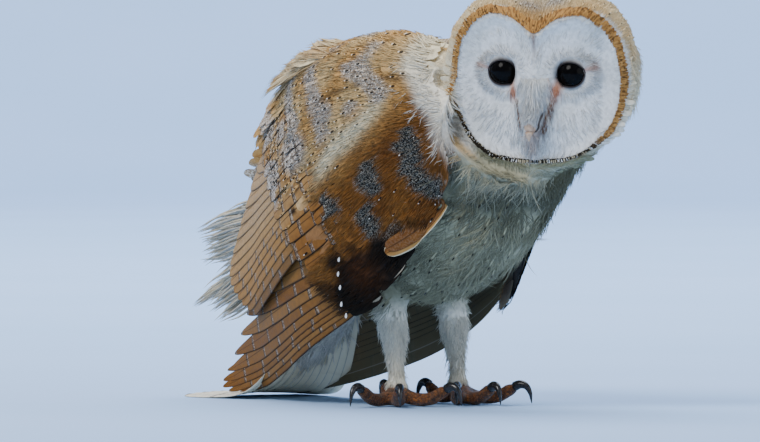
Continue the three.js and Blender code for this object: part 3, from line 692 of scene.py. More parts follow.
def markings(points, normals, groups):
    # Tint, pepper, dot size and darkness at points of the body.
    n = len(points)
    tint = paint(n, "white")
    pepper, dot, dark = np.zeros(n), np.zeros(n), np.zeros(n)
    a, u, b = headPlace(points)
    angle, reach = np.arctan2(u, a), discReach(a, u)
    _, y, z = points.T

    sel = groups == "face"
    if sel.any():
        tint[sel] = faceTint(a[sel], u[sel])
    sel = (groups == "head") | ((groups == "face") & (reach > 0.97))
    if sel.any():
        turnAt, behind, p = angle[sel], b[sel], points[sel]
        high = smooth(0.1, 0.7, np.sin(turnAt))
        crown = blend(plumage["cream"], plumage["buff"], 0.5 + wander(p, 10, 6) * 0.5)
        crown = blend(crown, plumage["gold"], 0.8 * bell(a[sel], 0, 15) * smooth(16, 6, behind))
        side = blend(plumage["white"], plumage["cream"], 0.25 + 0.6 * smooth(-0.7, 0.1, np.sin(turnAt)))
        # Painted shade: dark olive low on the head's sides, under the face.
        side = blend(side, tone(132, 132, 104), smooth(-0.55, -0.8, np.sin(turnAt)))
        tint[sel] = blend(side, crown, high)
        tint[sel] = blend(tint[sel], rimTint(turnAt, p), smooth(7, 5, behind) * (reach[sel] < 0.995))
        speckled = smooth(17, 9, np.abs(a[sel])) * smooth(9, 14, behind) * smooth(0.3, 0.6, np.sin(turnAt))
        pepper[sel] = speckled * (0.5 + 0.5 * smooth(0.3, 0.5, wander(p, 8, 7)))
        dark[sel] = 0.2
        dot[sel] = 0.55 * smooth(-0.1, 0.5, np.sin(turnAt))
    sel = groups == "mantle"
    if sel.any():
        p = points[sel]
        tint[sel] = blend(plumage["buff"], plumage["gold"], wander(p, 14, 8) * 0.9)
        front = smooth(6, -8, p[:, 1] - neckEdge(p[:, 2]))
        tint[sel] = blend(tint[sel], plumage["cream"], 0.85 * front)
        saddle = smooth(-18, -6, p[:, 1]) * smooth(70, 54, p[:, 1])
        patch = saddle * (0.35 + 0.65 * smooth(0.25, 0.55, wander(p, 13, 9)))
        pepper[sel] = np.maximum(patch, 0.8 * smooth(0.6, 0.8, wander(p, 12, 15)) * (p[:, 1] > 0)) * (1 - front)
        dark[sel] = 0.15
        dot[sel] = lerp(0.8, 0.5, front)
    sel = np.isin(groups, ("scapulars", "coverts"))
    if sel.any():
        tint[sel], pepper[sel], dot[sel], dark[sel] = wingTint(y[sel], z[sel])
    sel = np.isin(groups, ("body", "thigh"))
    if sel.any():
        p, nz = points[sel], normals[sel][:, 2]
        fleck = (np.random.default_rng(3).random(sel.sum()) < 0.13) * 0.95
        top = smooth(0.35, 0.8, nz) * smooth(-92, -70, p[:, 1])
        side = smooth(-0.2, 0.5, nz) * smooth(115, 140, p[:, 2])
        front = smooth(-72, -86, p[:, 1])
        top, side = top * (1 - front), side * (1 - front)
        # Painted shade: lower on the body the plumage takes the shaded belly colour; under the chin, the dark olive
        # of the head's shadow.
        low = np.maximum(smooth(134, 108, p[:, 2]), front * smooth(152, 136, p[:, 2]))
        chest = blend(plumage["white"], plumage["belly"], low)
        shadow = 0.85 * smooth(-58, -70, p[:, 1]) * smooth(129, 119, p[:, 2]) * smooth(88, 98, p[:, 2])
        chest = blend(chest, tone(92, 90, 68), shadow)
        tint[sel] = blend(blend(chest, plumage["cream"], 0.6 * side), plumage["buff"], top)
        tint[sel] = blend(tint[sel], tone(246, 240, 222), smooth(56, 40, p[:, 2]) * (groups[sel] == "thigh"))
        dot[sel] = fleck * (1 - top) + 0.6 * top
    tint[groups == "rump"] = blend(plumage["white"], plumage["cream"], 0.4)
    sel = groups == "toe"
    if sel.any():
        tint[sel] = blend(tone(112, 60, 24), tone(32, 18, 10), wander(points[sel], 4, 11))
    sel = groups == "tarsus"
    if sel.any():
        low = smooth(11, 6, z[sel])
        tint[sel] = blend(np.tile(tone(246, 240, 222), (sel.sum(), 1)), tone(130, 84, 46), low)
    # Painted shade: dull olive on the throat just beyond the face's rim, under the face.
    throat = smooth(-74, -82, y) * smooth(138, 130, z) * smooth(104, 110, z) * smooth(1.03, 1.08, reach) * (b < 6)
    tint = blend(tint, tone(172, 170, 146), 0.9 * throat)
    return tint, pepper, dot, dark


# Looks. A Value is one socket, with arithmetic; a Look is one material's node tree.


class Value:
    def __init__(self, look, socket):
        self.look, self.socket = look, socket

    def __add__(self, other):
        return self.look.maths("ADD", self, other)

    def __sub__(self, other):
        return self.look.maths("SUBTRACT", self, other)

    def __rsub__(self, other):
        return self.look.maths("SUBTRACT", other, self)

    def __mul__(self, other):
        return self.look.maths("MULTIPLY", self, other)

    def __truediv__(self, other):
        return self.look.maths("DIVIDE", self, other)

    def __rtruediv__(self, other):
        return self.look.maths("DIVIDE", other, self)

    def __pow__(self, other):
        return self.look.maths("POWER", self, other)

    def __gt__(self, other):
        return self.look.maths("GREATER_THAN", self, other)

    def __lt__(self, other):
        return self.look.maths("LESS_THAN", self, other)

    __radd__, __rmul__ = __add__, __mul__


class Look:
    def __init__(self, name, **constants):
        self.material = bpy.data.materials.new(name)
        self.material.use_nodes = True
        self.tree = self.material.node_tree
        self.tree.nodes.clear()
        self.shader = self.tree.nodes.new("ShaderNodeBsdfPrincipled")
        out = self.tree.nodes.new("ShaderNodeOutputMaterial")
        self.tree.links.new(self.shader.outputs[0], out.inputs[0])
        for key, value in constants.items():
            self.shader.inputs[key.replace("_", " ")].default_value = value

    def node(self, kind, settings=None, inputs=None, out=0):
        made = self.tree.nodes.new(kind)
        for key, value in (settings or {}).items():
            setattr(made, key, value)
        for key, value in (inputs or {}).items():
            self.feed(made.inputs[key], value)
        return Value(self, made.outputs[out])

    def feed(self, socket, value):
        if isinstance(value, Value):
            self.tree.links.new(value.socket, socket)
        elif socket.type == "RGBA":
            socket.default_value = (*[float(v) for v in value][:3], 1)
        else:
            socket.default_value = value

    def maths(self, operation, a, b=0.0):
        return self.node("ShaderNodeMath", {"operation": operation}, {0: a, 1: b})

    def mix(self, factor, a, b):
        settings = {"data_type": "RGBA", "clamp_factor": True}
        return self.node("ShaderNodeMix", settings, {0: factor, 6: a, 7: b}, 2)

    def shaded(self, colour, amount):
        # The colour times a number.
        return self.node("ShaderNodeVectorMath", {"operation": "SCALE"}, {0: colour, 3: amount})

    def attribute(self, name, out="Color"):
        return self.node("ShaderNodeAttribute", {"attribute_name": name}, None, out)

    def parts(self, vector):
        made = self.tree.nodes.new("ShaderNodeSeparateXYZ")
        self.feed(made.inputs[0], vector)
        return [Value(self, o) for o in made.outputs]

    def step(self, value, low, high, start=0.0, end=1.0):
        settings = {"interpolation_type": "SMOOTHSTEP", "clamp": True}
        return self.node("ShaderNodeMapRange", settings, {0: value, 1: low, 2: high, 3: start, 4: end})

    def noise(self, vector, scale, detail=2.0):
        inputs = {"Vector": vector, "Scale": scale, "Detail": detail}
        return self.node("ShaderNodeTexNoise", {"noise_dimensions": "3D"}, inputs)

    def bump(self, height, strength, distance):
        normal = self.node("ShaderNodeBump", None, {"Strength": strength, "Distance": distance, "Height": height})
        self.feed(self.shader.inputs["Normal"], normal)

    def base(self, colour):
        self.feed(self.shader.inputs["Base Color"], colour)

    def rough(self, value):
        self.feed(self.shader.inputs["Roughness"], value)


def pepperOn(look, colour, amount, dark, place):
    # Fine grey speckle laid over a colour.
    grain = look.noise(place, 1.1, 1.0)
    light = look.step(grain, 0.46, 0.58)
    low = look.mix(dark, tone(146, 130, 116), tone(24, 22, 20))
    high = look.mix(dark, tone(226, 216, 202), tone(146, 138, 124))
    return look.mix(amount, colour, look.mix(light, low, high))


def featherLook(name, barb=0.06, rough=0.78, sheen=0.0, underside=tone(190, 174, 148)):
    look = Look(name, Sheen_Weight=sheen, Sheen_Roughness=0.5, IOR=1.4, Specular_IOR_Level=0.12)
    tint = look.attribute("tint")
    dark = look.attribute("tint", "Alpha")
    pepper, dot, spacing = look.parts(look.attribute("marks", "Vector"))
    edge = look.attribute("marks", "Alpha")
    place = look.attribute("place", "Vector")
    x, y, seed = look.parts(place)
    across, _, under = look.parts(look.attribute("shape", "Vector"))
    length, width, pale = look.parts(look.attribute("size", "Vector"))
    fromTip = length - y
    aside = look.maths("ABSOLUTE", x)
    spread = look.maths("ABSOLUTE", across)

    soft = look.noise(place, 0.35, 2.0)
    colour = look.shaded(tint, look.step(soft, 0.3, 0.7, 0.86, 1.08))
    drift = look.maths("SINE", seed * 3.1) * 1.8
    phase = look.maths("FRACT", (fromTip + soft * 2 + drift - 3.0) / look.maths("MAXIMUM", spacing, 1.0))
    rest = (1.0 - phase) * spacing + soft * 0.8 - 0.4
    bar = look.step(rest, 2.9, 2.5) * look.step(rest, 0.0, 0.3) * (spacing > 0.5)
    lines = bar * (rest > 1.9)
    amount = look.maths("MAXIMUM", pepper, bar * 0.65)
    colour = pepperOn(look, colour, amount, look.maths("MAXIMUM", dark, bar * 0.75), place)
    colour = look.mix(lines * 0.75, colour, plumage["dusk"])

    barbWave = look.maths("SINE", (y - aside * 0.8 + soft * 1.2) * 9.0)
    colour = look.shaded(colour, 1.0 + barbWave * barb)
    shaft = look.step(aside, 0.42, 0.18) * (width > 3.0)
    colour = look.mix(shaft * 0.7, colour, plumage["brown"])
    # The margin: cream on pale-edged feathers; dark margins are partly the feathers' own dark edges and partly
    # painted shadow in the gaps between overlapping feathers.
    margin = look.step(spread, 0.8, 0.95) * edge
    colour = look.mix(margin, colour, look.mix(pale, plumage["dusk"], plumage["cream"]))

    size = look.maths("MAXIMUM", dot, 0.05)
    blackAt = ((fromTip - size * 2.9) / 1.7) ** 2 + (x / 0.8) ** 2
    whiteAt = ((fromTip - size * 0.7) / 0.7) ** 2 + (x / 0.5) ** 2
    black = look.step(blackAt / (size * size), 1.3, 0.7) * (dot > 0.1)
    white = look.step(whiteAt / (size * size), 1.3, 0.7) * (dot > 0.1)
    colour = look.mix(black * 0.94, colour, tone(18, 15, 14))
    colour = look.mix(white * 0.85, colour, tone(236, 230, 220))
    back = look.mix(shaft * 0.6, underside, tone(186, 180, 164))
    colour = look.mix(under * look.step(width, 3.0, 3.5) * 0.9, colour, back)
    look.base(colour)
    look.rough(look.step(soft, 0.2, 0.8, rough - 0.08, rough + 0.08))
    look.bump(barbWave * 0.5 + soft, 0.35, 0.0004)
    return look.material


def skinLookMaterial():
    look = Look("skin_look", Sheen_Weight=0.1, IOR=1.4)
    place = look.node("ShaderNodeTexCoord", None, None, "Object")
    scaled = look.node("ShaderNodeVectorMath", {"operation": "SCALE"}, {0: place, 3: 1000.0})
    tint, dark = look.attribute("tint"), look.attribute("tint", "Alpha")
    pepper, _, bare = look.parts(look.attribute("marks", "Vector"))
    soft = look.noise(scaled, 0.5, 3.0)
    colour = look.shaded(tint, look.step(soft, 0.25, 0.75, 0.8, 1.1))
    colour = pepperOn(look, colour, pepper, dark, scaled)
    cells = look.node("ShaderNodeTexVoronoi", {"feature": "DISTANCE_TO_EDGE"}, {"Vector": scaled, "Scale": 0.75})
    tile = look.node("ShaderNodeTexVoronoi", {"feature": "F1"}, {"Vector": scaled, "Scale": 0.75}, 1)
    flake = look.step(cells, 0.02, 0.2)
    bright = look.parts(tile)[0]
    scaly = look.mix(bright * 0.6, look.shaded(tint, 0.7), tone(178, 110, 48))
    scaly = look.mix(look.step(flake, 0.6, 0.0) * 0.8, scaly, tone(40, 22, 14))
    look.base(look.mix(bare, colour, scaly))
    look.rough(look.step(bare, 0.0, 1.0, 0.85, 0.55))
    grain = look.noise(scaled, 2.2, 3.0)
    look.bump(flake * bare * 1.4 + grain * 0.5, 0.6, 0.0006)
    return look.material


coatLook = featherLook("feather_look")
downLook = featherLook("down_look", barb=0.0, rough=0.85, sheen=0.12, underside=tone(225, 222, 214))
quillLook = featherLook("quill_look", barb=0.08, rough=0.62, underside=tone(124, 116, 92))
tailQuillLook = featherLook("tail_look", barb=0.06, rough=0.7, underside=tone(252, 240, 208))
skinMaterial = skinLookMaterial()


def makeSkin():
    tint, pepper, dot, dark = markings(skinPoints, skinNormals, groupsAt(skinPoints))
    bare = smooth(12, 8, skinPoints[:, 2]) * (np.abs(skinPoints[:, 1]) < 48) * (skinPoints[:, 1] < 50)
    values = {
        "tint": np.concatenate([tint, dark[:, None]], 1),
        "marks": np.stack([pepper, dot, bare, dot * 0], 1),
    }
    made = newMesh("skin", skinPoints, skinFaces, None, values)
    layer = made.data.uv_layers.new(name="OFBake")
    layer.data.foreach_set("uv", skinUv.astype(np.float32).ravel())
    made.data.materials.append(skinMaterial)
    finishPiece(made, fleshNames)
    return made


makeSkin()
print("skin made")


def fallOf(roots, ways, normals, length):
    # How far the skin falls away under a feather at its middle and its tip.
    falls = []
    for share in (0.5, 1.0):
        spots = roots + ways * (np.broadcast_to(length, len(roots)) * share)[:, None]
        near = np.array([skinTree.find_nearest(Vector(p))[0] for p in spots])
        falls.append(np.clip(((near - spots) * normals).sum(1), -0.3 * length * share, 0.25 * length * share))
    return 4 * falls[0] - falls[1], 2 * falls[1] - 4 * falls[0]


def column(q, count):
    # One number, or one for each feather, as a column.
    return np.broadcast_to(np.asarray(q, float).reshape(-1, 1), (count, 1))


def vanePoints(shape, widthAt, roots, ways, normals, length, width, lift=0.1, droop=0.0, bend=0.0, camber=0.02,
    thick=0.06, fall=(0.0, 0.0)):
    # Feathers that lie along a surface from their roots.
    a, v, h = shape[0].T
    length, width, lift, bend, fall1, fall2 = (column(q, len(roots)) for q in (length, width, lift, bend, *fall))
    across = width * widthAt(v)[None] * a[None]
    along = length * v[None]
    up = lift * along - droop * along**2 - camber * np.abs(across) + thick * h[None]
    up = up + fall1 * v[None] + fall2 * v[None] ** 2
    aside = across + bend * length * v[None] ** 2
    side = np.cross(ways, normals)
    points = roots[:, None] + ways[:, None] * along[..., None] + side[:, None] * aside[..., None]
    return points + normals[:, None] * up[..., None]


def plantVanes(coat, roots, normals, uv, groups, ways, length, width, lift, edge, spread=0.12, sink=0.3):
    # Broad small feathers; the markings run on from one to the next.
    n = len(roots)
    angle = dice.normal(0, spread, n)[:, None]
    side = np.cross(normals, ways)
    ways = norm(ways * np.cos(angle) + side * np.sin(angle))
    length = length * dice.uniform(0.88, 1.12, n)
    width = width * dice.uniform(0.9, 1.1, n)
    lift = lift + dice.normal(0, 0.012, n)
    fall = fallOf(roots, ways, normals, length)
    bend = dice.normal(0, 0.05, n)
    points = vanePoints(vaneShape, featherWidth, roots - normals * sink, ways, normals, length, width, lift,
        bend=bend, fall=fall)
    tint, pepper, _, dark = paintedAlong(points, normals, groups)
    coat.add(vaneShape, points, tint, length, width, uv, pepper=pepper, dark=dark, edge=edge)


def paintedAlong(points, normals, groups):
    # The markings at every point of each feather.
    n, v = points.shape[:2]
    again = lambda q: np.repeat(q, v, 0)
    tint, *rest = markings(points.reshape(-1, 3), again(normals), again(groups))
    return (tint.reshape(n, v, 3) * dice.uniform(0.95, 1.04, (n, 1, 1)), *(q.reshape(n, v) for q in rest))


def plantBarbs(coat, chosen, spacing, wayAt, length, width, lift, high, splay=0.12):
    # Fine loose barbs over the vanes.
    roots, normals, uv, groups = scatter(chosen, spacing)
    ways = wayAt(roots, normals)
    n = len(roots)
    angle = dice.normal(0, splay, n)[:, None]
    ways = norm(ways * np.cos(angle) + np.cross(normals, ways) * np.sin(angle))
    length = length * dice.uniform(0.7, 1.15, n)
    fall = fallOf(roots, ways, normals, length)
    lift = lift * dice.uniform(0.3, 1.6, n)
    points = vanePoints(barbShape, strandWidth, roots + normals * high, ways, normals, length, width, lift,
        bend=dice.normal(0, 0.04, n), camber=0, thick=0.1, fall=fall)
    tint, pepper, _, dark = paintedAlong(points, normals, groups)
    coat.add(barbShape, points, tint, length, width, uv, pepper=pepper, dark=dark)


def plantSpots(coat, chosen, spacing, wayAt, length, width, high):
    # Small feathers with a black and white spot at the tip.
    roots, normals, uv, groups = scatter(chosen, spacing)
    ways = wayAt(roots, normals)
    n = len(roots)
    length = length * dice.uniform(0.9, 1.1, n)
    fall = fallOf(roots, ways, normals, length)
    points = vanePoints(vaneShape, featherWidth, roots + normals * high, ways, normals, length, width, 0.09,
        fall=fall)
    tint, pepper, dot, dark = paintedAlong(points, normals, groups)
    keep = dice.random(n) < 0.9 * dot[:, 0]
    marks = {"pepper": pepper[keep], "dark": dark[keep], "dot": dot[keep, 0] * dice.uniform(0.6, 0.9, keep.sum())}
    coat.add(vaneShape, points[keep], tint[keep], length[keep], width, uv[keep], **marks)


def plantStrands(coat, roots, normals, uv, ways, length, width, tint, strands, splay, lift, sink=0.4, bend=0.15,
    droop=0.006):
    # Tufts: several fine tapered strands from one root.
    length, width, lift = (np.repeat(column(q, len(roots)), strands) for q in (length, width, lift))
    roots, normals, ways, tint, uv = (np.repeat(q, strands, 0) for q in (roots, normals, ways, tint, uv))
    m = len(roots)
    angle = dice.normal(0, splay, m)[:, None]
    side = np.cross(normals, ways)
    ways = norm(ways * np.cos(angle) + side * np.sin(angle))
    length = length * dice.uniform(0.6, 1.15, m)
    lift = lift * dice.uniform(0.4, 1.5, m)
    roots = roots - normals * sink + side * dice.normal(0, 0.35, (m, 1))
    tint = tint * dice.uniform(0.9, 1.06, (m, 1))
    points = vanePoints(strandShape, strandWidth, roots, ways, normals, length, width, lift, droop,
        dice.normal(0, bend, m), camber=0, thick=0.1)
    coat.add(strandShape, points, tint, length, width, uv)


def plantLayers(name, chosen, rule, wayAt, spotted):
    # Vanes, then barbs over them, then spotted feathers.
    roots, normals, uv, groups = scatter(chosen, rule["spacing"])
    coat = Coat(name)
    ways = wayAt(roots, normals)
    plantVanes(coat, roots, normals, uv, groups, ways, rule["length"], rule["width"], rule["lift"], rule["edge"])
    plantBarbs(coat, chosen, rule["barbs"], wayAt, rule["barbLength"], rule["barbWidth"], rule["barbLift"],
        rule["barbHigh"])
    plantSpots(coat, spotted, rule["spots"], wayAt, rule["spotLength"], rule["spotWidth"], rule["spotHigh"])
    coat.make(coatLook)


def headWay(points, normals):
    a, u, b = headPlace(points)
    way = -faceOut[None] + 0.25 * faceUp[None] * smooth(20, 0, b)[:, None]
    way = way - 0.3 * np.array([0, 0, 1.0]) * smooth(30, 55, b)[:, None]
    upper = smooth(0.3, 0.8, normals @ faceOut) * smooth(-0.75, -0.3, u / np.hypot(a, u))
    outwards = norm(np.stack([a, u], -1)) * upper[:, None]
    way = way + faceSide * outwards[:, :1] + faceUp * outwards[:, 1:]
    return tangent(way, normals)


# Face: fine silky feathers that stream away from the eyes and down the ridge of the bill.
faceCoat = {"spacing": 0.74, "length": 6.4, "width": 0.17, "lift": 0.16, "strands": 1}
faceAcross, faceHigh, faceBehind = headPlace(faceMiddles)
faceReach = discReach(faceAcross, faceHigh)
onDisc = (faceGroups == "face") & (faceReach < 0.945) & (faceNormals @ faceOut > 0.1)
eyeGap = eyeDistance(faceAcross, faceHigh)


def streaming(a, u):
    # Which way the face's feathers run, across and up.
    way = np.zeros((len(a), 2))
    for ea in (-head["eyeAcross"], head["eyeAcross"]):
        d = np.stack([a - ea, u - head["eyeUp"]], -1)
        way += d / (d**2).sum(-1, keepdims=True)
    ridge = bell(a, 0, 6.5) * smooth(10, 0, u) * smooth(-30, -24, u)
    way += np.stack([a * 0, -0.35 * ridge], -1)
    rise = bell(a, 0, 5) * smooth(4, 12, u)
    way += np.stack([np.sign(a) * 0.03 * rise, 0.06 * rise], -1)
    return norm(way)


def plantFace(name, chosen, spacing, length, width, lift, strands, slot):
    roots, normals, uv, _ = scatter(chosen, spacing)
    a, u, _ = headPlace(roots)
    way = streaming(a, u)
    ways = tangent(faceSide * way[:, :1] + faceUp * way[:, 1:], normals)
    tint = faceTint(a + way[:, 0] * 1.5, u + way[:, 1] * 1.5)
    eye = eyeDistance(a, u)
    ridge = bell(a, 0, 5) * smooth(2, -8, u)
    long = length * (0.75 + 0.25 * smooth(8, 16, eye)) * (1 + 0.5 * ridge)
    reach = discReach(a, u)
    long = long * (1 - 0.86 * smooth(0.72, 0.92, reach))
    coat = Coat(name)
    plantStrands(coat, roots, normals, uv, ways, long, width, tint, strands, 0.14, lift + 0.12 * ridge, sink=0.5,
        bend=0.05, droop=0.004)
    coat.make(downLook)


plantFace("face_feathers_left", onDisc & (faceAcross >= 0) & (eyeGap > 7.4), slot="plumage_white", **faceCoat)
plantFace("face_feathers_right", onDisc & (faceAcross < 0) & (eyeGap > 7.4), slot="plumage_white", **faceCoat)

ridgeCoat = {
    "spacing": 0.8, "length": 7.5, "longer": 3.5, "width": 0.17, "strands": 3,
    "lineStrands": 64, "lineLength": 4.2, "lineWidth": 0.1,
}
ridgeFaces = (faceGroups == "face") & (np.abs(faceAcross) < 7) & (faceHigh > -10) & (faceHigh < 7)
ridgeFaces &= faceNormals @ faceOut > 0.1


def plantRidge():
    # Longer feathers that run down the ridge and hide the root of the bill.
    roots, normals, uv, _ = scatter(ridgeFaces, ridgeCoat["spacing"])
    a, u, _ = headPlace(roots)
    ways = tangent(faceSide * (a * 0.035)[:, None] - faceUp, normals)
    coat = Coat("ridge_feathers")
    length = ridgeCoat["length"] + ridgeCoat["longer"] * bell(a, 0, 4)
    # The ridge's feathers are white; the blend towards a white brighter than the face's white is painted light.
    tint = blend(faceTint(a * 1.2, u - 4), tone(255, 253, 246), 0.4)
    lift = 0.1 + 0.16 * bell(a, 0, 4)
    plantStrands(coat, roots, normals, uv, ways, length, ridgeCoat["width"], tint, ridgeCoat["strands"], 0.08, lift,
        sink=-0.2, bend=0.04, droop=0.0)
    for start, end, strength, width in billLines:
        n = int(ridgeCoat["lineStrands"] * strength)
        t = dice.uniform(0, 0.9, n)
        a, u = (start[k] + (end[k] - start[k]) * t + dice.normal(0, 0.75 * width, n) for k in (0, 1))
        roots, normals, uv = onSkin(headPoint(a, u, 0.0))
        ways = tangent(faceSide * (end[0] - start[0]) + faceUp * (end[1] - start[1]), normals)
        tint = blend(tone(158, 122, 96), plumage["brown"], 0.55 * dice.random(n))
        plantStrands(coat, roots, normals, uv, ways, ridgeCoat["lineLength"], ridgeCoat["lineWidth"], tint, 1, 0.14,
            0.26, sink=-1.0, bend=0.08, droop=0.0)
    coat.make(downLook)


plantRidge()

# Ruff: stiff short feathers in rows round the face's rim, dark-beaded below.
ruffLook = {"rows": 5, "count": 430, "length": 2.9, "width": 0.42}
# the ruff's start as a share of the disc's edge, by angle
ruffReach = curve([(-180, 0.955), (-150, 0.955), (-118, 0.985), (-85, 0.98), (-62, 0.965), (-35, 0.955), (0, 0.955),
    (180, 0.955)])
# the ruff's width in millimetres, by angle
ruffBand = curve([(-180, 2.4), (-140, 0.8), (-90, 0.5), (-45, 0.9), (0, 2.6), (60, 2.6), (110, 2.4), (180, 2.4)])


def plantRuff():
    coat = Coat("ruff_feathers")
    for row in range(ruffLook["rows"]):
        n = ruffLook["count"]
        angle = (np.arange(n) + 0.5 * (row % 2) + dice.uniform(-0.25, 0.25, n)) / n * 2 * np.pi
        angle = angleFrom(angle, 0)
        share = row / (ruffLook["rows"] - 1)
        band = ruffBand(np.degrees(angle))
        reach = ruffReach(np.degrees(angle)) * discEdge(angle) + share * band
        a, u = reach * np.cos(angle), reach * np.sin(angle)
        roots, normals, uv = onSkin(headPoint(a, u, 1.5 + 1.2 * row))
        outward = faceRing(angle)
        normals = norm(normals + 0.35 * outward)
        ways = tangent(outward - faceOut * lerp(0.0, 1.2, share), normals)
        below = np.where(np.cos(angle) < 0, smooth(0.0, -0.5, np.sin(angle)), smooth(-0.4, -0.72, np.sin(angle)))
        left = smooth(-0.2, -0.8, np.cos(angle)) * smooth(0.35, -0.1, np.sin(angle))
        warm = blend(plumage["gold"], plumage["rust"], dice.random(n) ** 1.6 * 0.8)
        warm = blend(warm, plumage["brown"], (dice.random(n) < 0.16 + 0.14 * (row == 0)) * 0.8)
        warm = blend(warm, plumage["cream"], left * (dice.random(n) < 0.4) * 0.8)
        cold = blend(plumage["cream"], plumage["brown"], 0.2 + 0.5 * dice.random(n))
        cold = blend(cold, plumage["dusk"], (dice.random(n) < (0.6, 0.9, 0.96, 0.97, 0.95)[row]) * 0.97)
        cold = blend(cold, plumage["white"], (dice.random(n) < 0.1) * 0.8)
        tint = blend(warm, cold, below)
        length = ruffLook["length"] * (1 - 0.52 * below) * dice.uniform(0.75, 1.2, n)
        points = vanePoints(vaneShape, featherWidth, roots - ways * 0.9 + normals * 0.35, ways, normals, length,
            ruffLook["width"], 0.14, camber=0.05)
        coat.add(vaneShape, points, tint, length, ruffLook["width"], uv)
    coat.make(coatLook)


plantRuff()

# Crown and sides of the head: small overlapping feathers.
crownCoat = {
    "spacing": 2.2, "length": 7, "width": 1.3, "lift": 0.0, "edge": 0.05,
    "barbs": 1.05, "barbLength": 6, "barbWidth": 0.2, "barbLift": 0.06, "barbHigh": 0.1,
    "spots": 3.2, "spotLength": 3.6, "spotWidth": 0.5, "spotHigh": 0.5, "spotsAbove": 160,
}
rimAngle = np.arctan2(faceHigh, faceAcross)
pastRuff = np.hypot(faceAcross, faceHigh) > 0.955 * discEdge(rimAngle) + ruffBand(np.degrees(rimAngle)) + 0.8
behindRuff = (faceBehind > 12) | ((faceBehind > 6.5) & (faceReach > 0.9))
crownFaces = np.isin(faceGroups, ("head", "face")) & (pastRuff | behindRuff)
plantLayers("head_feathers", crownFaces, crownCoat, headWay,
    crownFaces & (faceMiddles[:, 2] > crownCoat["spotsAbove"]))

# Back: the mantle between the wings.
mantleCoat = {
    "spacing": 3.1, "length": 13, "width": 2.4, "lift": 0.04, "edge": 0.15,
    "barbs": 1.35, "barbLength": 8.5, "barbWidth": 0.26, "barbLift": 0.05, "barbHigh": 0.3,
    "spots": 4.6, "spotLength": 5.0, "spotWidth": 0.62, "spotHigh": 0.75,
}


def backWay(points, normals):
    return tangent((0, 1, -0.2), normals)


mantleFaces = (faceGroups == "mantle") & (faceMiddles[:, 1] > neckEdge(faceMiddles[:, 2]) - 12)
plantLayers("mantle_feathers", mantleFaces, mantleCoat, backWay, mantleFaces)

# Breast, belly, neck, legs: loose soft tufts, longest below.
bodyCoat = {
    "spacing": 2.6, "length": 15.5, "thighLength": 8, "upperLength": 11,
    "width": 0.3, "strands": 6, "lift": 0.17,
}
throatCoat = {"spacing": 1.7, "length": 8.0, "width": 0.24, "strands": 5, "lift": 0.3}
fleckCoat = {"spacing": 9.5, "length": 7.0, "width": 0.5, "tip": 0.75}


def bodyWay(points, normals):
    neck = smooth(-66, -86, points[:, 1])[:, None]
    way = np.array([0, 0.8, -0.6]) * (1 - neck) + np.array([0, 0.55, -0.8]) * neck
    return tangent(way + np.array([1.0, 0, 0]) * (points[:, :1] * 0.004), normals)


def dottedBreast(coat, roots, normals, uv):
    # Sparse feathers with a small dark tip.
    length, width, tip = fleckCoat["length"], fleckCoat["width"], fleckCoat["tip"]
    points = vanePoints(vaneShape, featherWidth, roots + normals, bodyWay(roots, normals), normals, length, width,
        0.3)
    v = vaneShape[0][:, 1]
    tint, *_ = markings(roots, normals, np.full(len(roots), "body"))
    tint = tint[:, None] * (v <= tip)[:, None] + plumage["dusk"] * (v > tip)[:, None]
    coat.add(vaneShape, points, tint, length, width, uv)


frontGap = faceMiddles[:, 1] - neckEdge(faceMiddles[:, 2])
bodyFaces = (faceGroups == "body") | (faceGroups == "thigh")
bodyFaces |= np.isin(faceGroups, ("mantle", "scapulars", "coverts")) & (frontGap < 1) & (faceMiddles[:, 2] > 104)
bodyFaces |= (faceGroups == "head") & (faceMiddles[:, 2] < 176) & (faceBehind > 16)
bodyFaces &= ~((faceMiddles[:, 0] < -38) & (faceMiddles[:, 1] > -72) & (faceMiddles[:, 2] < 104))
bellyY = faceMiddles[:, 1]
belly = (bellyY >= -42) & (bellyY < 8)
for name, chosen in {"breast_feathers": bellyY < -42, "belly_feathers": belly, "vent_feathers": bellyY >= 8}.items():
    roots, normals, uv, groups = scatter(bodyFaces & chosen, bodyCoat["spacing"])
    ways = bodyWay(roots, normals)
    tint, pepper, dot, dark = markings(roots, normals, groups)
    upper = (groups != "body") & (groups != "thigh")
    ways = np.where(upper[:, None], tangent((0, 0.7, -0.7), normals), ways)
    thigh = groups == "thigh"
    length = np.where(upper, bodyCoat["upperLength"], bodyCoat["length"])
    length = np.where(thigh, bodyCoat["thighLength"], length) * (0.75 + 0.45 * wander(roots, 9, 12))
    lift = bodyCoat["lift"] * (0.5 + wander(roots, 12, 13))
    coat = Coat(name)
    plantStrands(coat, roots, normals, uv, ways, length, bodyCoat["width"], tint, bodyCoat["strands"], 0.26, lift,
        sink=0.6, bend=0.26)
    if name == "breast_feathers":
        throat = bodyFaces & (bellyY < -82) & (faceMiddles[:, 2] > 104)
        roots, normals, uv, groups = scatter(throat, throatCoat["spacing"])
        ways = np.where(normals[:, 2:] > 0.4, tangent((-0.2, -0.8, -0.6), normals), bodyWay(roots, normals))
        tint = markings(roots, normals, groups)[0]
        tufts = Coat("throat_feathers")
        plantStrands(tufts, roots, normals, uv, ways, throatCoat["length"], throatCoat["width"], tint,
            throatCoat["strands"], 0.3, throatCoat["lift"], sink=0.4, bend=0.2)
        tufts.make(downLook)
    flecked = bodyFaces & chosen & np.isin(faceGroups, ("body", "thigh"))
    flecked &= (faceMiddles[:, 2] < 104) & (faceMiddles[:, 0] < 4)
    if flecked.any():
        dottedBreast(coat, *scatter(flecked, fleckCoat["spacing"])[:3])
    coat.make(downLook)

legCoat = {"spacing": 1.5, "length": 8.0, "width": 0.2, "strands": 4, "splay": 0.22, "lift": 0.26,
    "way": (0, 0.1, -1)}
rumpCoat = {"spacing": 3.2, "length": 13, "width": 0.4, "strands": 6, "splay": 0.25, "lift": 0.15,
    "way": (0, 0.6, -0.8)}


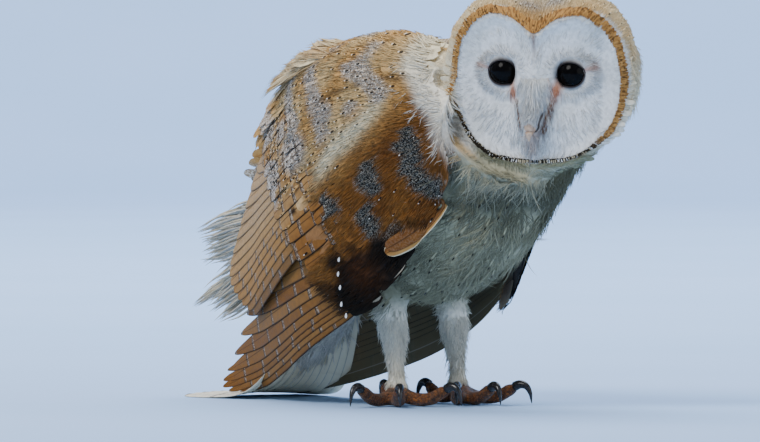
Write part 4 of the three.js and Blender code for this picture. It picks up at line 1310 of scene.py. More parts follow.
def plantDown(name, chosen, rule, shareAt):
    # Soft tufts that all lie one way; shareAt gives their length by height.
    roots, normals, uv, groups = scatter(chosen, rule["spacing"])
    tint = markings(roots, normals, groups)[0]
    coat = Coat(name)
    length = rule["length"] * shareAt(roots[:, 2])
    ways = tangent(rule["way"], normals)
    plantStrands(coat, roots, normals, uv, ways, length, rule["width"], tint, rule["strands"], rule["splay"],
        rule["lift"])
    coat.make(downLook)


plantDown("leg_feathers", (faceGroups == "tarsus") & (faceMiddles[:, 2] > 9), legCoat,
    lambda z: 0.5 + 0.5 * smooth(8, 22, z))
plantDown("rump_feathers", faceGroups == "rump", rumpCoat, np.ones_like)

# Wings. A patch place is how far back (s) and how far down (t) between two edges.


def patchPlace(edges, s, t):
    s, t = np.broadcast_arrays(np.asarray(s, float), np.asarray(t, float))
    p = edges[0](np.clip(s, 0, 1)) * (1 - t[..., None]) + edges[1](np.clip(s, 0, 1)) * t[..., None]
    over = np.where(s < 0, s, np.where(s > 1, s - 1, 0))[..., None]
    slope = (edges[0](np.clip(s, 0.04, 1)) - edges[0](np.clip(s, 0.04, 1) - 0.04)) * (1 - t[..., None])
    slope = slope + (edges[1](np.clip(s, 0.04, 1)) - edges[1](np.clip(s, 0.04, 1) - 0.04)) * t[..., None]
    return p + slope / 0.04 * over


def patchWay(edges, s, t):
    # The lie of the feathers at a patch place.
    return norm(patchPlace(edges, s + 0.03, t) - patchPlace(edges, s - 0.03, t))


def aslant(ways):
    # A quarter turn from each way, along the wing's surface.
    return np.stack([ways[:, 1], -ways[:, 0]], -1)


def wingVanes(coat, shape, widthAt, side, roots, ways, length, width, liftRoot, liftTip, slant=0.0, camber=0.02,
    thick=0.07, bend=0.0, **extra):
    # Feathers laid over the wing from [y, z] roots along [y, z] ways.
    a, v, h = shape[0].T
    length, width, liftRoot, liftTip, bend = (column(q, len(roots)) for q in (length, width, liftRoot, liftTip, bend))
    across = width * widthAt(v)[None] * a[None]
    along = length * v[None]
    perp = aslant(ways)
    aside = across + bend * np.sin(np.pi * v)[None]
    place = roots[:, None] + ways[:, None] * along[..., None] + perp[:, None] * aside[..., None]
    lift = liftRoot + (liftTip - liftRoot) * v[None] + slant * across / width
    lift = lift - camber * np.abs(across) + thick * h[None]
    points = wingPoint(side, place[..., 0], place[..., 1], lift)
    warmth = extra.pop("warmth", 0.0)
    if "tint" not in extra:
        extra = {**wingPaint(place), **extra}
        lit = smooth(0.03, 0.08, extra["tint"][..., 1])
        extra["tint"] = blend(extra["tint"], blend(plumage["orange"], plumage["rust"], 0.3), warmth * lit)
    uv = extra.pop("uv", None)
    if uv is None:
        _, _, uv = onSkin(wingPoint(side, roots[:, 0], roots[:, 1], -1.5))
    keep = clearOfHead(points.mean(1)) & (place[:, -1, 0] > neckEdge(place[:, -1, 1]) - 7)
    if side > 0:
        keep &= (place[:, 0, 0] > 16) | (place[:, 0, 1] < 168)
        flight = (place[:, -1, 0] > -10) & (length[:, 0] > 40)
        keep &= (place[..., 1].min(1) > covertEdge(place[..., 0].mean(1)) - 1) | flight
    pick = lambda q: q[keep] if np.ndim(q) and len(q) == len(keep) else q
    coat.add(shape, points[keep], pick(extra.pop("tint")), pick(length), pick(width), uv[keep],
        **{key: pick(q) for key, q in extra.items()})


# lower edge of the coverts, height by place along
covertEdge = curve([(-77, 127), (-72, 111), (-61, 98), (-47, 80), (-30, 62), (-16, 51), (-4, 40)])


def clearOfHead(points):
    a, u, b = headPlace(points)
    inside = (b > -12) & (b < 52) & (np.hypot(a, u) < 1.12 * discEdge(np.arctan2(u, a)))
    return ~inside


def wingPaint(place):
    # The wing's markings at every point of each feather, from places on its side view.
    n, v = place.shape[:2]
    tint, pepper, _, dark = wingTint(place[..., 0].ravel(), place[..., 1].ravel())
    tint = tint.reshape(n, v, 3) * dice.uniform(0.94, 1.04, (n, 1, 1))
    return {"tint": tint, "pepper": pepper.reshape(n, v), "dark": dark.reshape(n, v)}


def wingBarbs(coat, side, edges, outerAt, spacing, length, width, low=0.0, high=0.4, reach=1.0):
    # Fine loose barbs laid over a patch of the wing.
    s, t = np.meshgrid(np.linspace(0, 1, 60), np.linspace(0, 1, 30))
    corner = patchPlace(edges, s, t)
    down, back = corner[1:, 1:] - corner[:-1, 1:], corner[1:, 1:] - corner[1:, :-1]
    area = np.linalg.norm(down, axis=-1) * np.linalg.norm(back, axis=-1)
    n = int(area.sum() / spacing**2)
    cell = dice.choice(area.size, n, p=area.ravel() / area.sum())
    s = (cell % 59 + dice.random(n)) / 59
    t = (cell // 59 + dice.random(n)) / 29
    inside = s < reach + 0.05 * np.sin(t * 40) + 0.4 * smooth(0.7, 0.78, t)
    s, t, n = s[inside], t[inside], inside.sum()
    base = patchPlace(edges, s, t)
    ways = patchWay(edges, s, t)
    ways = norm(ways + aslant(ways) * dice.normal(0, 0.1, (n, 1)))
    length = length * dice.uniform(0.7, 1.15, n)
    outer = outerAt(s, t) + low
    wingVanes(coat, barbShape, strandWidth, side, base, ways, length, width, outer,
        outer + high * dice.uniform(0.2, 1.6, n), camber=0, thick=0.1)


def wingSpots(coat, side, edges, outerAt, gap, length, width, chance):
    # Rows of small feathers with a black and white spot at the tip.
    for row, s in enumerate(np.arange(0.08, 0.97, 0.036)):
        n = int(np.linalg.norm(edges[0](s) - edges[1](s)) / gap)
        t = (np.arange(n) + 0.5 * (row % 2) + dice.uniform(0.2, 0.8, n)) / n
        tips = patchPlace(edges, s + dice.normal(0, 0.004, n), t)
        dot = wingTint(tips[:, 0], tips[:, 1])[2]
        keep = (dice.random(n) < np.maximum(0.75 * dot, chance)) & (tips[:, 0] > neckEdge(tips[:, 1]) - 4)
        keep &= (tips[:, 1] > 90) | (tips[:, 0] > 12)
        tips, t = tips[keep], t[keep]
        if not len(tips):
            continue
        ways = patchWay(edges, s, t)
        outer = outerAt(s, t)
        roots = tips - ways * length
        wingVanes(coat, vaneShape, featherWidth, side, roots, ways, length, width, outer + 0.2, outer + 0.6,
            dot=dice.uniform(0.45, 0.8, len(t)))


covertRows = {
    "small": {"rows": 19, "from": 0.1, "to": 0.62, "length": 13, "gap": 4.2, "width": 2.5},
    "middle": {"rows": 2, "from": 0.68, "to": 0.74, "length": 20, "gap": 6.0, "width": 3.7},
    "great": {"rows": 1, "from": 1.0, "to": 1.0, "length": 48, "gap": 8.6, "width": 5.6},
}
# under the wing's outline at the root and over it at the tip
covertLift = {"small": (1.2, -0.35), "middle": (0.6, 0.0), "great": (0.5, 0.0)}
wingFuzz = {"spacing": 1.15, "length": 8.5, "width": 0.24, "spotGap": 4.4}
whiteSpots = [(-5, 71), (-3, 64), (-2.5, 57.5), (-1, 49.5), (-2, 44)]


def covertOuter(s, t):
    return 1.4 + 2 * np.sin(np.pi * np.clip(t, 0, 1)) * (1 - s) + 0.8 * (1 - s)


def scapularOuter(s, t):
    return 1.6 + 3 * np.sin(np.pi * (0.15 + 0.7 * t)) * (1 - 0.6 * s)


def plantCoverts(side, sideName):
    coat = Coat(f"covert_feathers_{sideName}")
    edges = (covertTop, covertLow)
    for kind in ("great", "middle", "small"):
        rule = covertRows[kind]
        for s in np.linspace(rule["to"], rule["from"], rule["rows"]):
            width = np.linalg.norm(covertTop(s) - covertLow(s))
            n = max(int(width / rule["gap"]), 3)
            t = np.clip((np.arange(n) + dice.uniform(0.3, 0.7, n)) / n, 0.01, 1.0)
            tips = patchPlace(edges, s + dice.normal(0, 0.008, n), t)
            ways = patchWay(edges, s, t)
            short = smooth(0.5, 0.8, t) * (kind == "great")
            length = rule["length"] * dice.uniform(0.9, 1.1, n) * lerp(1, 0.45, short)
            if kind == "small":
                length = length * lerp(0.4, 1, smooth(0.05, 0.25, s))
            outer = covertOuter(s, t)
            deep, high = covertLift[kind]
            low = (kind == "great") * smooth(0.7, 0.8, t)
            deep, high = deep + 1.6 * low, high - 1.0 * low
            roots = tips - ways * length[:, None]
            if kind != "small":
                bars = np.where(t > 0.72, 0, 12.0)
                wingVanes(coat, quillShape, quillWidth, side, roots, ways, length, rule["width"], outer - deep,
                    outer + high, slant=0.25, edge=0.9, bars=bars, warmth=0.55)
            else:
                wingVanes(coat, vaneShape, featherWidth, side, roots, ways, length, rule["width"], outer - deep,
                    outer + high, slant=0.1, edge=0.15)
    wingBarbs(coat, side, edges, covertOuter, wingFuzz["spacing"], wingFuzz["length"], wingFuzz["width"], low=-0.15,
        reach=0.66)
    wingSpots(coat, side, edges, covertOuter, wingFuzz["spotGap"], 4.6, 0.6, 0.1)
    tips = np.array(whiteSpots, float)
    ways = np.tile(norm((0.3, -1.0)), (len(tips), 1))
    wingVanes(coat, vaneShape, featherWidth, side, tips - ways * 2, ways, 2.4, 0.6, 2.0, 2.5,
        tint=paint(len(tips), "white"))
    coat.make(coatLook)


windLook = {
    "count": 44, "length": 27, "width": 1.6, "strands": 9, "strandWidth": 0.26,
    "rise": 6.5, "from": 0.5, "to": 0.72,
}


def ruffled(coat, side, edges):
    # Long loose feathers that the wind lifts off the shoulder.
    n = windLook["count"]
    s = dice.uniform(windLook["from"], windLook["to"], n)
    t = dice.uniform(0.14, 0.55, n)
    base = patchPlace(edges, s, t)
    ways = patchWay(edges, s, t)
    ways = norm(ways + aslant(ways) * dice.normal(0.05, 0.1, (n, 1)))
    length = windLook["length"] * dice.uniform(0.6, 1.1, n)
    outer = scapularOuter(s, t)
    rise = windLook["rise"] * dice.uniform(0.1, 1.0, n)
    tint = blend(plumage["gold"], plumage["cream"], dice.random(n) * 0.9)
    # Painted shade: the lower a feather lies under the lifted ones, the browner it is.
    tint = blend(tint, plumage["brown"], 0.5 * smooth(0.4, 0.1, rise / windLook["rise"]))
    wingVanes(coat, vaneShape, featherWidth, side, base, ways, length, windLook["width"], outer - 0.4, outer + rise,
        tint=tint, bend=dice.normal(0, 1.2, n))
    for _ in range(windLook["strands"]):
        angled = norm(ways + aslant(ways) * dice.normal(0, 0.07, (n, 1)))
        start = base + aslant(ways) * dice.uniform(-1.6, 1.6, (n, 1))
        wingVanes(coat, strandShape, strandWidth, side, start, angled, length * dice.uniform(0.8, 1.2, n),
            windLook["strandWidth"], outer, outer + rise + dice.uniform(0, 1.5, n), camber=0, thick=0.1, tint=tint)


def plantScapulars(side, sideName):
    coat = Coat(f"shoulder_feathers_{sideName}")
    edges = (scapularTop, scapularCrease)
    for s in np.linspace(1.0, 0.1, 32):
        n = 7
        t = (np.arange(n) + dice.uniform(0.3, 0.7, n)) / n
        tips = patchPlace(edges, s + dice.normal(0, 0.01, n), t * 1.04)
        ways = patchWay(edges, s, t)
        rear = smooth(0.72, 1.0, s)
        length = 13 * lerp(0.5, 1, smooth(0.05, 0.2, s)) + 8 * rear
        outer = scapularOuter(s, t)
        loose = rear * dice.random(n)
        wingVanes(coat, vaneShape, featherWidth, side, tips - ways * length, ways, length, 2.5 + 1.0 * rear,
            outer - 1.2, outer - 0.3 + 3.5 * loose, slant=0.1, edge=0.15)
    wingBarbs(coat, side, edges, scapularOuter, wingFuzz["spacing"], wingFuzz["length"] + 1.5, wingFuzz["width"],
        low=-0.15, high=0.6)
    if side < 0:
        ruffled(coat, side, edges)
    wingSpots(coat, side, edges, scapularOuter, wingFuzz["spotGap"], 4.6, 0.6, 0.1)
    coat.make(coatLook)


def fanPlaces(stops, count):
    along = [curve([(i / (len(stops) - 1), stop[k]) for i, stop in enumerate(stops)]) for k in range(4)]
    s = (np.arange(count) + 0.5) / count
    rootY, rootZ, tipY, tipZ = (f(s) for f in along)
    roots, tips = np.stack([rootY, rootZ], -1), np.stack([tipY, tipZ], -1)
    return s, roots, tips


secondaryStops = [(46, 128, 98, 120), (30, 119, 128, 88), (18, 111, 136, 64), (8, 104, 118, 50), (-4, 95, 90, 42)]
primaryStops = [(-6, 82, 98, 58), (-8, 71, 119, 34), (-8, 62, 138, 13), (-7, 55, 142, 4), (-5, 49, 124, 1)]
alulaStops = [(-65, 103, -34, 79), (-65, 98, -32, 74.5)]
flightRules = {
    "secondaries": {"stops": secondaryStops, "count": 14, "width": 5.6, "lift": -1.5, "bow": 2, "bars": 12.5},
    "primaries": {"stops": primaryStops, "count": 9, "width": 6.0, "lift": -4.4, "bow": 4, "bars": 27},
    "alula": {"stops": alulaStops, "count": 2, "width": 3.5, "lift": 3.4, "bow": 2.6, "bars": 0},
}


def stripPlace(count, shape):
    # A strip of the baked picture for each long feather.
    a, v, _ = shape[0].T
    step = 1 / count
    first = np.arange(count)[:, None] * step
    return np.stack([np.broadcast_to(v * 0.96 + 0.02, (count, len(v))), first + step * (0.5 + 0.42 * a[None])], -1)


def plantFlight(side, sideName):
    coat = Coat(f"flight_feathers_{sideName}")
    total = sum(rule["count"] for rule in flightRules.values())
    done = 0
    strips = stripPlace(total, quillShape)
    for kind in ("primaries", "secondaries", "alula"):
        rule = flightRules[kind]
        n = rule["count"]
        s, roots, tips = fanPlaces(rule["stops"], n)
        ways = norm(tips - roots)
        length = np.linalg.norm(tips - roots, axis=1)
        if kind != "alula":
            roots = roots - ways * 8
            length = length + 8
        if kind == "secondaries":
            tint = blend(plumage["gold"], plumage["cream"], 0.16 * smooth(0.8, 0.2, s))
            tint = blend(tint, plumage["orange"], 0.25 + 0.3 * smooth(0.4, 0.8, s))
            tint = blend(tint, plumage["brown"], 0.6 * smooth(0.8, 1.0, s))
            pepper, bars = smooth(0.8, 0.2, s) * 0.2 * dice.random(n), np.where(s < 0.6, 0.0, 16.0)
            dark, edge, pale = 0.25, 0.6, 0.0
        elif kind == "primaries":
            tint = blend(blend(plumage["orange"], plumage["gold"], 0.45 * dice.random(n)), plumage["brown"], 0.22)
            pepper, dark, bars, edge, pale = 0.0, 0.4, 24.0, 0.8, 0.0
        else:
            a, v, _ = quillShape[0].T
            streak = wander(np.stack([a * 3.0, v * 1.6, a * 0], -1), 1.1, 21)
            inner = blend(plumage["rust"], plumage["orange"], 0.3 + 0.5 * streak)
            warm = blend(plumage["rust"], plumage["orange"], 0.3 + 0.7 * streak)
            outer = blend(warm, plumage["gold"], 0.75 * smooth(-0.5, 0.8, a))
            tint = np.stack([inner, outer])
            pepper, dark, bars = np.array([0.12, 0.0]), 1.0, 0.0
            edge, pale = np.array([0.1, 1.0]), np.array([0.0, 1.0])
        widthAt = primaryWidth if kind == "primaries" else quillWidth
        under = 3.2 if kind == "alula" else 0.1
        low, high = rule["lift"] - under, rule["lift"] + 0.1
        marks = {"tint": tint, "pepper": pepper, "dark": dark, "bars": bars, "edge": edge, "pale": pale}
        wingVanes(coat, quillShape, widthAt, side, roots, ways, length, rule["width"], low, high, slant=0.42,
            thick=0.16, bend=rule["bow"], uv=np.zeros((n, 2)), uvPlace=strips[done : done + n], **marks)
        done += n
    coat.make(quillLook, [f"secondaries_{sideName}", f"primaries_{sideName}", f"alula_{sideName}"])


for sideName, side in sides.items():
    plantCoverts(side, sideName)
    plantScapulars(side, sideName)
    plantFlight(side, sideName)

# Tail: twelve feathers on a shallow arch, laid back on the floor.
tailLook = {"count": 12, "width": 72, "root": 30, "feather": 5.0}


def plantTail():
    coat = Coat("tail_feathers")
    n = tailLook["count"]
    a, v, h = quillShape[0].T
    spread = (np.arange(n) + 0.5 - n / 2) / (n / 2)
    t = np.clip(0.06 + 0.94 * v, 0, 1)[None] * (1 - 0.05 * spread[:, None] ** 2)
    centre = tailPath(t)
    after = tailPath(np.clip(t + 0.01, 0, 1)) - tailPath(np.clip(t - 0.01, 0, 1))
    up = norm(np.stack([after[..., 0] * 0, -after[..., 2], after[..., 1]], -1))
    half = lerp(tailLook["root"], tailLook["width"], t) / 2
    mark = spread[:, None] + a[None] * quillWidth(v)[None] * tailLook["feather"] / 33
    rise = 0.8 + (1 - mark**2) * 4 * (1 - 0.75 * t) - 0.35 * a[None] * np.sign(spread)[:, None]
    rise = rise - 0.12 * np.abs(a)[None] + 0.2 * h[None]
    points = centre + up * rise[..., None]
    points[..., 0] += mark * half
    points[..., 2] = np.maximum(points[..., 2], 0.15 + 0.25 * (h[None] > 0))
    tint = blend(plumage["white"], plumage["cream"], 0.35 + 0.3 * (1 - np.abs(spread)))
    coat.add(quillShape, points, tint, 130.0, tailLook["feather"], None, pepper=0.1, dark=0.15, bars=24.0, edge=0.2,
        pale=1.0, uvPlace=stripPlace(n, quillShape))
    coat.make(tailQuillLook, ["tail"])


plantTail()

# Plumes of the rump, lifted by the wind between the wings.
plumeLook = {"locks": 15, "strands": 62, "width": 0.75, "bow": 5, "fan": 2.0}
plumeStops = [(92, 146, 92, 88), (84, 168, 92, 78), (76, 160, 90, 60), (68, 166, 88, 42), (60, 158, 86, 34)]


def plantPlumes():
    # Locks of long soft strands, swept back by the wind and frayed at their ends.
    coat = Coat("rump_plume_feathers")
    locks, each = plumeLook["locks"], plumeLook["strands"]
    share = (np.arange(locks) + 0.5) / locks
    stops = [curve([(i / 4, stop[k]) for i, stop in enumerate(plumeStops)]) for k in range(4)]
    rootZ, tipY, rootY, tipZ = (at(share) for at in stops)
    long = dice.uniform(0.8, 1.04, locks)
    tipY, tipZ = rootY + (tipY - rootY) * long, rootZ + (tipZ - rootZ) * long
    a, v, h = plumeShape[0].T
    n = locks * each
    lock = np.repeat(np.arange(locks), each)
    start = dice.uniform(0, 0.55, n)
    end = np.minimum(start + dice.uniform(0.35, 0.6, n), 1.0) + dice.normal(0, 0.02, n)
    along = start[:, None] + (end - start)[:, None] * v
    spread = dice.normal(0, 1.0, n)
    fan = (spread * plumeLook["fan"])[:, None] * (0.5 + 0.8 * along - 0.9 * smooth(0.75, 1.05, along) * along)
    way = norm(np.stack([tipY - rootY, tipZ - rootZ], -1))[lock]
    run = np.stack([tipY - rootY, tipZ - rootZ], -1)[lock]
    bow = plumeLook["bow"] * np.sin(np.pi * along) + fan + 0.6 * np.sin(along * 7 + dice.uniform(0, 6, n)[:, None])
    bow = bow + plumeLook["width"] * strandWidth(v) * a
    y = np.repeat(rootY, each)[:, None] + run[:, :1] * along - way[:, 1:] * bow
    z = np.repeat(rootZ, each)[:, None] + run[:, 1:] * along + way[:, :1] * bow
    x = -0.2 * (y - 86) + dice.normal(0, 1.1, (n, 1)) + 0.12 * h[None]
    tint = blend(plumage["white"], plumage["cream"], 0.3 + dice.random(n) * 0.5) * 0.74
    dim = 1 - 0.35 * smooth(0.8, 1.0, along) * (dice.random(n) < 0.5)[:, None]
    coat.add(plumeShape, np.stack([x, y, z], -1), tint[:, None] * dim[..., None], 40.0, plumeLook["width"], None,
        uvPlace=np.stack([0.5 + 0.4 * a, v * 0.9 + 0.05], -1) * 0.02)
    coat.make(downLook, ["rump_plumes"])


plantPlumes()

# Eyes, lids, bill and claws.


def lathe(rings):
    # A closed body through rings of points, its ends closed to their middles.
    count = len(rings[0])
    points = [p for ring in rings for p in ring] + [rings[0].mean(0), rings[-1].mean(0)]
    faces = []
    for i in range(len(rings) - 1):
        for j in range(count):
            p, q = i * count + j, i * count + (j + 1) % count
            faces += [(p, q, q + count), (p, q + count, p + count)]
    first, last = len(rings) * count, (len(rings) - 1) * count
    faces += [((j + 1) % count, j, first) for j in range(count)]
    faces += [(last + j, last + (j + 1) % count, first + 1) for j in range(count)]
    return np.array(points), np.array(faces)


def rodRings(path, radius, count, steps, floor=None):
    t = np.linspace(0, 1, steps + 1)
    centre = path(t)
    tangents = norm(path(np.clip(t + 0.01, 0, 1)) - path(np.clip(t - 0.01, 0, 1)))
    reference = np.array([0, 0, 1.0]) if abs(tangents[:, 2]).mean() < 0.9 else np.array([1.0, 0, 0])
    side = norm(np.cross(tangents, reference))
    up = np.cross(side, tangents)
    angle = np.arange(count) / count * 2 * np.pi
    r = radius(t)[:, None, None]
    around = side[:, None] * np.cos(angle)[None, :, None] + up[:, None] * np.sin(angle)[None, :, None]
    rings = centre[:, None] + r * around
    if floor is not None:
        rings[..., 2] = np.maximum(rings[..., 2], floor)
    return list(rings)


def merged(parts):
    points, faces, start = [], [], 0
    for p, f in parts:
        points.append(p)
        faces.append(f + start)
        start += len(p)
    return np.concatenate(points), np.concatenate(faces)


def outward(points, faces):
    # Faces turned so that the closed body's volume is positive.
    volume = (points[faces[:, 0]] * np.cross(points[faces[:, 1]], points[faces[:, 2]])).sum()
    return faces if volume > 0 else faces[:, ::-1]


def solidPiece(name, parts, material, replaced=(), values=None):
    points, faces = merged([(p, outward(p, f)) for p, f in parts])
    made = newMesh(name, points, faces, None, values)
    made.data.uv_layers.new(name="OFBake")
    made.data.materials.append(material)
    finishPiece(made, replaced)
    return made


def plainNodes(name, base, second, scale, rough, **constants):
    # A horny or wet surface: two tones wandering into each other.
    look = Look(name, **constants)
    place = look.node("ShaderNodeTexCoord", None, None, "Object")
    grain = look.noise(place, scale, 3.0)
    look.base(look.mix(look.step(grain, 0.35, 0.65), base, second))
    look.rough(look.step(grain, 0.2, 0.8, rough * 0.85, rough * 1.15))
    fine = look.noise(place, scale * 4, 2.0)
    look.bump(fine, 0.12, 0.0002)
    return look.material


eyeLook = plainNodes("eye_look", tone(7, 6, 7), tone(12, 10, 10), 300, 0.12, Coat_Weight=0.08, Coat_Roughness=0.05,
    IOR=1.33, Specular_IOR_Level=0.06)
billLook = plainNodes("bill_look", tone(218, 184, 152), tone(190, 152, 124), 500, 0.42, IOR=1.5)
clawLook = plainNodes("claw_look", tone(44, 42, 44), tone(22, 21, 23), 700, 0.22, IOR=1.5)


def eyeParts(sign):
    centre = eyeCentre(sign)
    ring = faceRing(np.arange(48) / 48 * 2 * np.pi)
    rings = []
    for k in range(25):
        polar = math.pi * (0.02 + 0.96 * k / 24)
        radius = head["eyeRadius"] - 0.25 + 0.3 * math.exp(-((polar / 0.6) ** 2))  # the cornea stands proud
        rings.append(centre + radius * (math.cos(polar) * faceOut + math.sin(polar) * ring))
    return lathe(rings)


lidShape = {"wide": 53, "high": 44, "corner": 8}  # degrees from the eye's axis


def makeLid(sideName, sign):
    # A thin dark rim round the opening, drawn to a point at both corners, on a pale lid that meets the face.
    centre = eyeCentre(sign)
    count = 96
    angle = np.arange(count) / count * 2 * np.pi
    outer = math.radians(14) if sign > 0 else math.radians(168)
    inner = math.radians(225) if sign > 0 else math.radians(-45)
    opening = lidShape["high"] + (lidShape["wide"] - lidShape["high"]) * np.cos(angle) ** 2
    for corner, strength in ((outer, 0.8), (inner, 1.2)):
        away = angleFrom(angle, corner)
        opening = opening + lidShape["corner"] * strength * np.exp(-((away / 0.28) ** 2))
    ring = faceRing(angle)
    stations = [(1.5, 7.8, 1), (0, 8.0, 1), (0.5, 8.3, 1), (2.5, 8.5, 0.9), (5, 8.55, 0.45), (8, 8.7, 0.12)]
    rings, dark = [], []
    for beyond, radius, shade in stations:
        polar = np.radians(opening + beyond)
        rings.append(centre + radius * (np.cos(polar)[:, None] * faceOut + np.sin(polar)[:, None] * ring))
        dark.append(np.full(count, shade))
    a, u, _ = headPlace(rings[-1])
    for reach, sunk in ((1.0, 0.25), (2.2, 0.1), (3.2, -0.5)):
        away = np.stack([a - sign * head["eyeAcross"], u - head["eyeUp"]], -1)
        place = np.stack([a, u], -1) + norm(away) * reach
        near, normals, _ = onSkin(headPoint(place[:, 0], place[:, 1], 6.0))
        rings.append(near + normals * sunk)
        dark.append(np.zeros(count))
    for polar, radius in ((62, 8.1), (58, 7.75)):
        polar = math.radians(polar)
        rings.append(centre + radius * (math.cos(polar) * faceOut + math.sin(polar) * ring))
        dark.append(np.zeros(count))
    points, shade = np.concatenate(rings), np.concatenate(dark)
    faces = []
    total = len(rings)
    for i in range(total):
        for j in range(count):
            p, q = i * count + j, i * count + (j + 1) % count
            r, t = (i + 1) % total * count + j, (i + 1) % total * count + (j + 1) % count
            faces += [(p, q, t), (p, t, r)]
    a, u, _ = headPlace(points)
    tint = blend(faceTint(a, u), tone(44, 34, 32), shade)
    values = {"tint": np.concatenate([tint, shade[:, None] * 0], 1), "marks": np.zeros((len(points), 4))}
    solidPiece(f"eyelid_{sideName}", [(points, np.array(faces))], skinMaterial, values=values)


for sideName, sign in sides.items():
    solidPiece(f"eyeball_{sideName}", [eyeParts(sign)], eyeLook, [f"eye_{sideName}"])
    makeLid(sideName, sign)


# each row: degrees from the eye's axis, length, count
lashCoat = {"width": 0.19, "rows": [(58, 5.5, 460), (61, 6.5, 500), (65, 7.5, 540)]}


def plantLashes():
    # Short feathers that rise from the lids and run out over the face.
    coat = Coat("lid_feathers")
    for sign in sides.values():
        centre = eyeCentre(sign)
        for polar, length, count in lashCoat["rows"]:
            angle = (np.arange(count) + dice.random(count)) / count * 2 * np.pi
            ring = faceRing(angle)
            polar = np.radians(polar + 3 * np.cos(angle) ** 2 + dice.normal(0, 0.8, count))[:, None]
            roots = centre + 8.5 * (np.cos(polar) * faceOut + np.sin(polar) * ring)
            normals = norm(faceOut + 0.25 * ring)
            ways = norm(ring - normals * (ring * normals).sum(1, keepdims=True))
            a, u, _ = headPlace(roots + ways * 1.5)
            _, _, uv = onSkin(roots)
            n = len(roots)
            long, width = length * dice.uniform(0.7, 1.1, n), lashCoat["width"]
            points = vanePoints(strandShape, strandWidth, roots, ways, normals, long, width,
                dice.uniform(0.0, 0.12, n), bend=dice.normal(0, 0.05, n), camber=0, thick=0.1)
            coat.add(strandShape, points, faceTint(a, u) * dice.uniform(0.92, 1.04, (n, 1)), long, width, uv)
    coat.make(downLook)


plantLashes()


def billParts(stops, count=20):
    path = spline([headPoint(*s[:3]) for s in stops])
    radius = curve([(i / (len(stops) - 1), s[3]) for i, s in enumerate(stops)])
    return lathe(rodRings(path, radius, count, 24))


# Across, up and behind on the head, and the radius there.
billStops = [(0, -6, 3.2, 3.6), (0, -10.5, -3.4, 3.2), (0, -16.5, -7.4, 2.3), (0, -22.4, -7.7, 0.3)]
lowerBillStops = [(0, -13, 3, 3.0), (0, -16.5, -1.5, 2.4), (0, -19.8, -4.0, 0.6)]
solidPiece("bill", [billParts(billStops)], billLook, ["beak_upper"])
solidPiece("bill_lower", [billParts(lowerBillStops)], billLook, ["beak_lower"])


# halfWay: degrees round from the top
bristleCoat = {"count": 900, "shortest": 5.0, "longest": 8.0, "width": 0.17, "halfWay": 100}


def plantBristles():
    # White bristles that stream down over the bill and leave its tip bare.
    coat = Coat("bill_bristles")
    path = spline([headPoint(*stop[:3]) for stop in billStops])
    radius = curve([(i / 3, stop[3]) for i, stop in enumerate(billStops)])
    n = bristleCoat["count"]
    t = dice.uniform(0.0, 0.5, n)
    around = np.radians(dice.uniform(-bristleCoat["halfWay"], bristleCoat["halfWay"], n))
    forward = norm(path(t + 0.02) - path(t - 0.02 * (t > 0.02)))
    front = norm(np.cross(np.tile(faceSide, (n, 1)), forward))
    front = front * np.sign(front @ faceOut)[:, None]
    normals = front * np.cos(around)[:, None] + faceSide * np.sin(around)[:, None]
    roots = path(t) + normals * (radius(t) - 0.1)[:, None]
    ways = tangent(forward + faceSide * (0.32 * np.sin(around))[:, None], normals)
    a, u, _ = headPlace(roots + ways * 4)
    tint = blend(faceTint(a * 1.3, u), plumage["white"], 0.35)
    brown = smooth(0.75, 0.98, np.sin(around)) * smooth(0.2, 0.4, t) * (dice.random(n) < 0.6)
    tint = blend(tint, plumage["maroon"], 0.25 * brown)
    length = dice.uniform(bristleCoat["shortest"], bristleCoat["longest"], n) * lerp(1, 0.62, t / 0.5)
    width = bristleCoat["width"]
    points = vanePoints(strandShape, strandWidth, roots, ways, normals, length, width, 0.12 + 0.1 * dice.random(n),
        camber=0, thick=0.1)
    _, _, uv = onSkin(roots)
    coat.add(strandShape, points, tint * dice.uniform(0.92, 1.05, (n, 1)), length, width, uv)
    coat.make(downLook)


plantBristles()


# share of the claw's length, height, radius
clawStops = [(0, 9.0, 2.3), (0.2, 10.1, 2.15), (0.42, 9.2, 1.65), (0.56, 6.0, 1.05), (0.62, 1.0, 0.2)]


def clawParts(sideName, toe):
    angle = math.radians(toeAngles[sideName][toe])
    x, y = legSpread[sideName]
    start = toeLength * toeShare[toe] - 1.2
    reach = clawLength * (0.9 if toe == "hind" else 1)
    places = [(start + reach * s, h) for s, h, _ in clawStops]
    points = [(x - math.sin(angle) * out, y - math.cos(angle) * out, h) for out, h in places]
    radius = curve([(i / 4, r) for i, (_, _, r) in enumerate(clawStops)])
    return lathe(rodRings(spline(points), radius, 14, 24, floor=0.5))


for sideName in sides:
    parts = [clawParts(sideName, toe) for toe in toeShare]
    solidPiece(f"claws_{sideName}", parts, clawLook, [f"claw_{toe}_{sideName}" for toe in toeShare])

# Studio: a pale sweep of floor and backdrop, soft light, long lens.
studio = {
    "camera": (-36, 1.2, 5.0),  # azimuth and elevation in degrees, distance in metres
    "aimAside": -19.9 / 1000, "aimHeight": 0.0888, "frameWidth": 0.3686,
    "floor": (tone(177, 208, 250), tone(174, 206, 248)),
    "sky": (0.8, 0.87, 0.95, 1), "skyStrength": 0.4,
    # watts, size and colour of each lamp
    "key": (66, 1.5, (1.0, 0.985, 0.96)),
    "top": (44, 2.0, (0.95, 0.97, 1.0)),
    "fill": (14, 2.0, (0.93, 0.96, 1.0)),
    "backdrop_light": (345, 5.0, (0.88, 0.95, 1.0)),
}


def lamp(name, at, target, shape="DISK"):
    data = bpy.data.lights.new(name, "AREA")
    data.energy, data.size, data.color = studio[name]
    data.shape = shape
    made = bpy.data.objects.new(name, data)
    bpy.context.scene.collection.objects.link(made)
    made.location = at
    made.rotation_euler = (target - at).to_track_quat("-Z", "Y").to_euler()


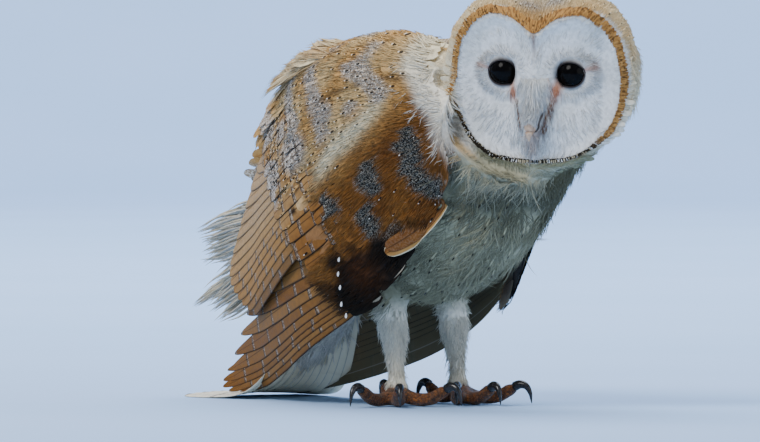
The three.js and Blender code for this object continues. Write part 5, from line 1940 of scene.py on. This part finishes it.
def buildStudio():
    azimuth, elevation, distance = studio["camera"]
    a, e = math.radians(azimuth), math.radians(elevation)
    toCamera = Vector((math.sin(a) * math.cos(e), -math.cos(a) * math.cos(e), math.sin(e)))
    side = Vector((math.cos(a), math.sin(a), 0))
    u = studio["aimAside"] + (rowShift[:2] / 1000) @ np.array([math.cos(a), math.sin(a)])
    aim = side * u + Vector((0, 0, studio["aimHeight"]))
    camera = bpy.data.objects.new("camera", bpy.data.cameras.new("camera"))
    bpy.context.scene.collection.objects.link(camera)
    camera.location = aim + toCamera * distance
    camera.rotation_euler = (-toCamera).to_track_quat("-Z", "Y").to_euler()
    camera.data.sensor_width = 36
    camera.data.lens = 36 * distance / studio["frameWidth"]
    camera.data.clip_end = 50
    bpy.context.scene.camera = camera

    back = Vector((-toCamera.x, -toCamera.y, 0)).normalized()
    cove = [(5.2 + 2.0 * math.sin(t), 2.0 - 2.0 * math.cos(t)) for t in np.linspace(0, math.pi / 2, 20)]
    profilePoints = [(-8.0, 0), *cove, (7.2, 9)]
    points, faces = [], []
    for d, z in profilePoints:
        for w in (-12, 12):
            points.append(tuple(back * d + side * w + Vector((0, 0, z))))
    for i in range(len(profilePoints) - 1):
        faces.append((2 * i, 2 * i + 1, 2 * i + 3, 2 * i + 2))
    mesh = bpy.data.meshes.new("floor")
    mesh.from_pydata(points, [], faces)
    mesh.polygons.foreach_set("use_smooth", [True] * len(faces))
    floor = bpy.data.objects.new("floor", mesh)
    bpy.context.scene.collection.objects.link(floor)
    floor.data.materials.append(plainNodes("floor_look", *studio["floor"], 3, 0.9, IOR=1.0, Specular_IOR_Level=0.0))

    left, front, owl = -side, Vector((toCamera.x, toCamera.y, 0)), Vector((0, 0, 0.09))
    lamp("key", left * 1.3 + front * 1.7 + Vector((0, 0, 2.2)), owl)
    lamp("top", back * 0.7 + Vector((0, 0, 2.4)), owl)
    lamp("fill", side * 2.0 + front * 1.2 + Vector((0, 0, 0.7)), owl)
    lamp("backdrop_light", back * 3.4 + Vector((0, 0, 3.6)), back * 5.6, "SQUARE")
    world = bpy.data.worlds.new("world")
    bpy.context.scene.world = world
    world.use_nodes = True
    world.node_tree.nodes["Background"].inputs[0].default_value = studio["sky"]
    world.node_tree.nodes["Background"].inputs[1].default_value = studio["skyStrength"]


buildStudio()
print("studio built")
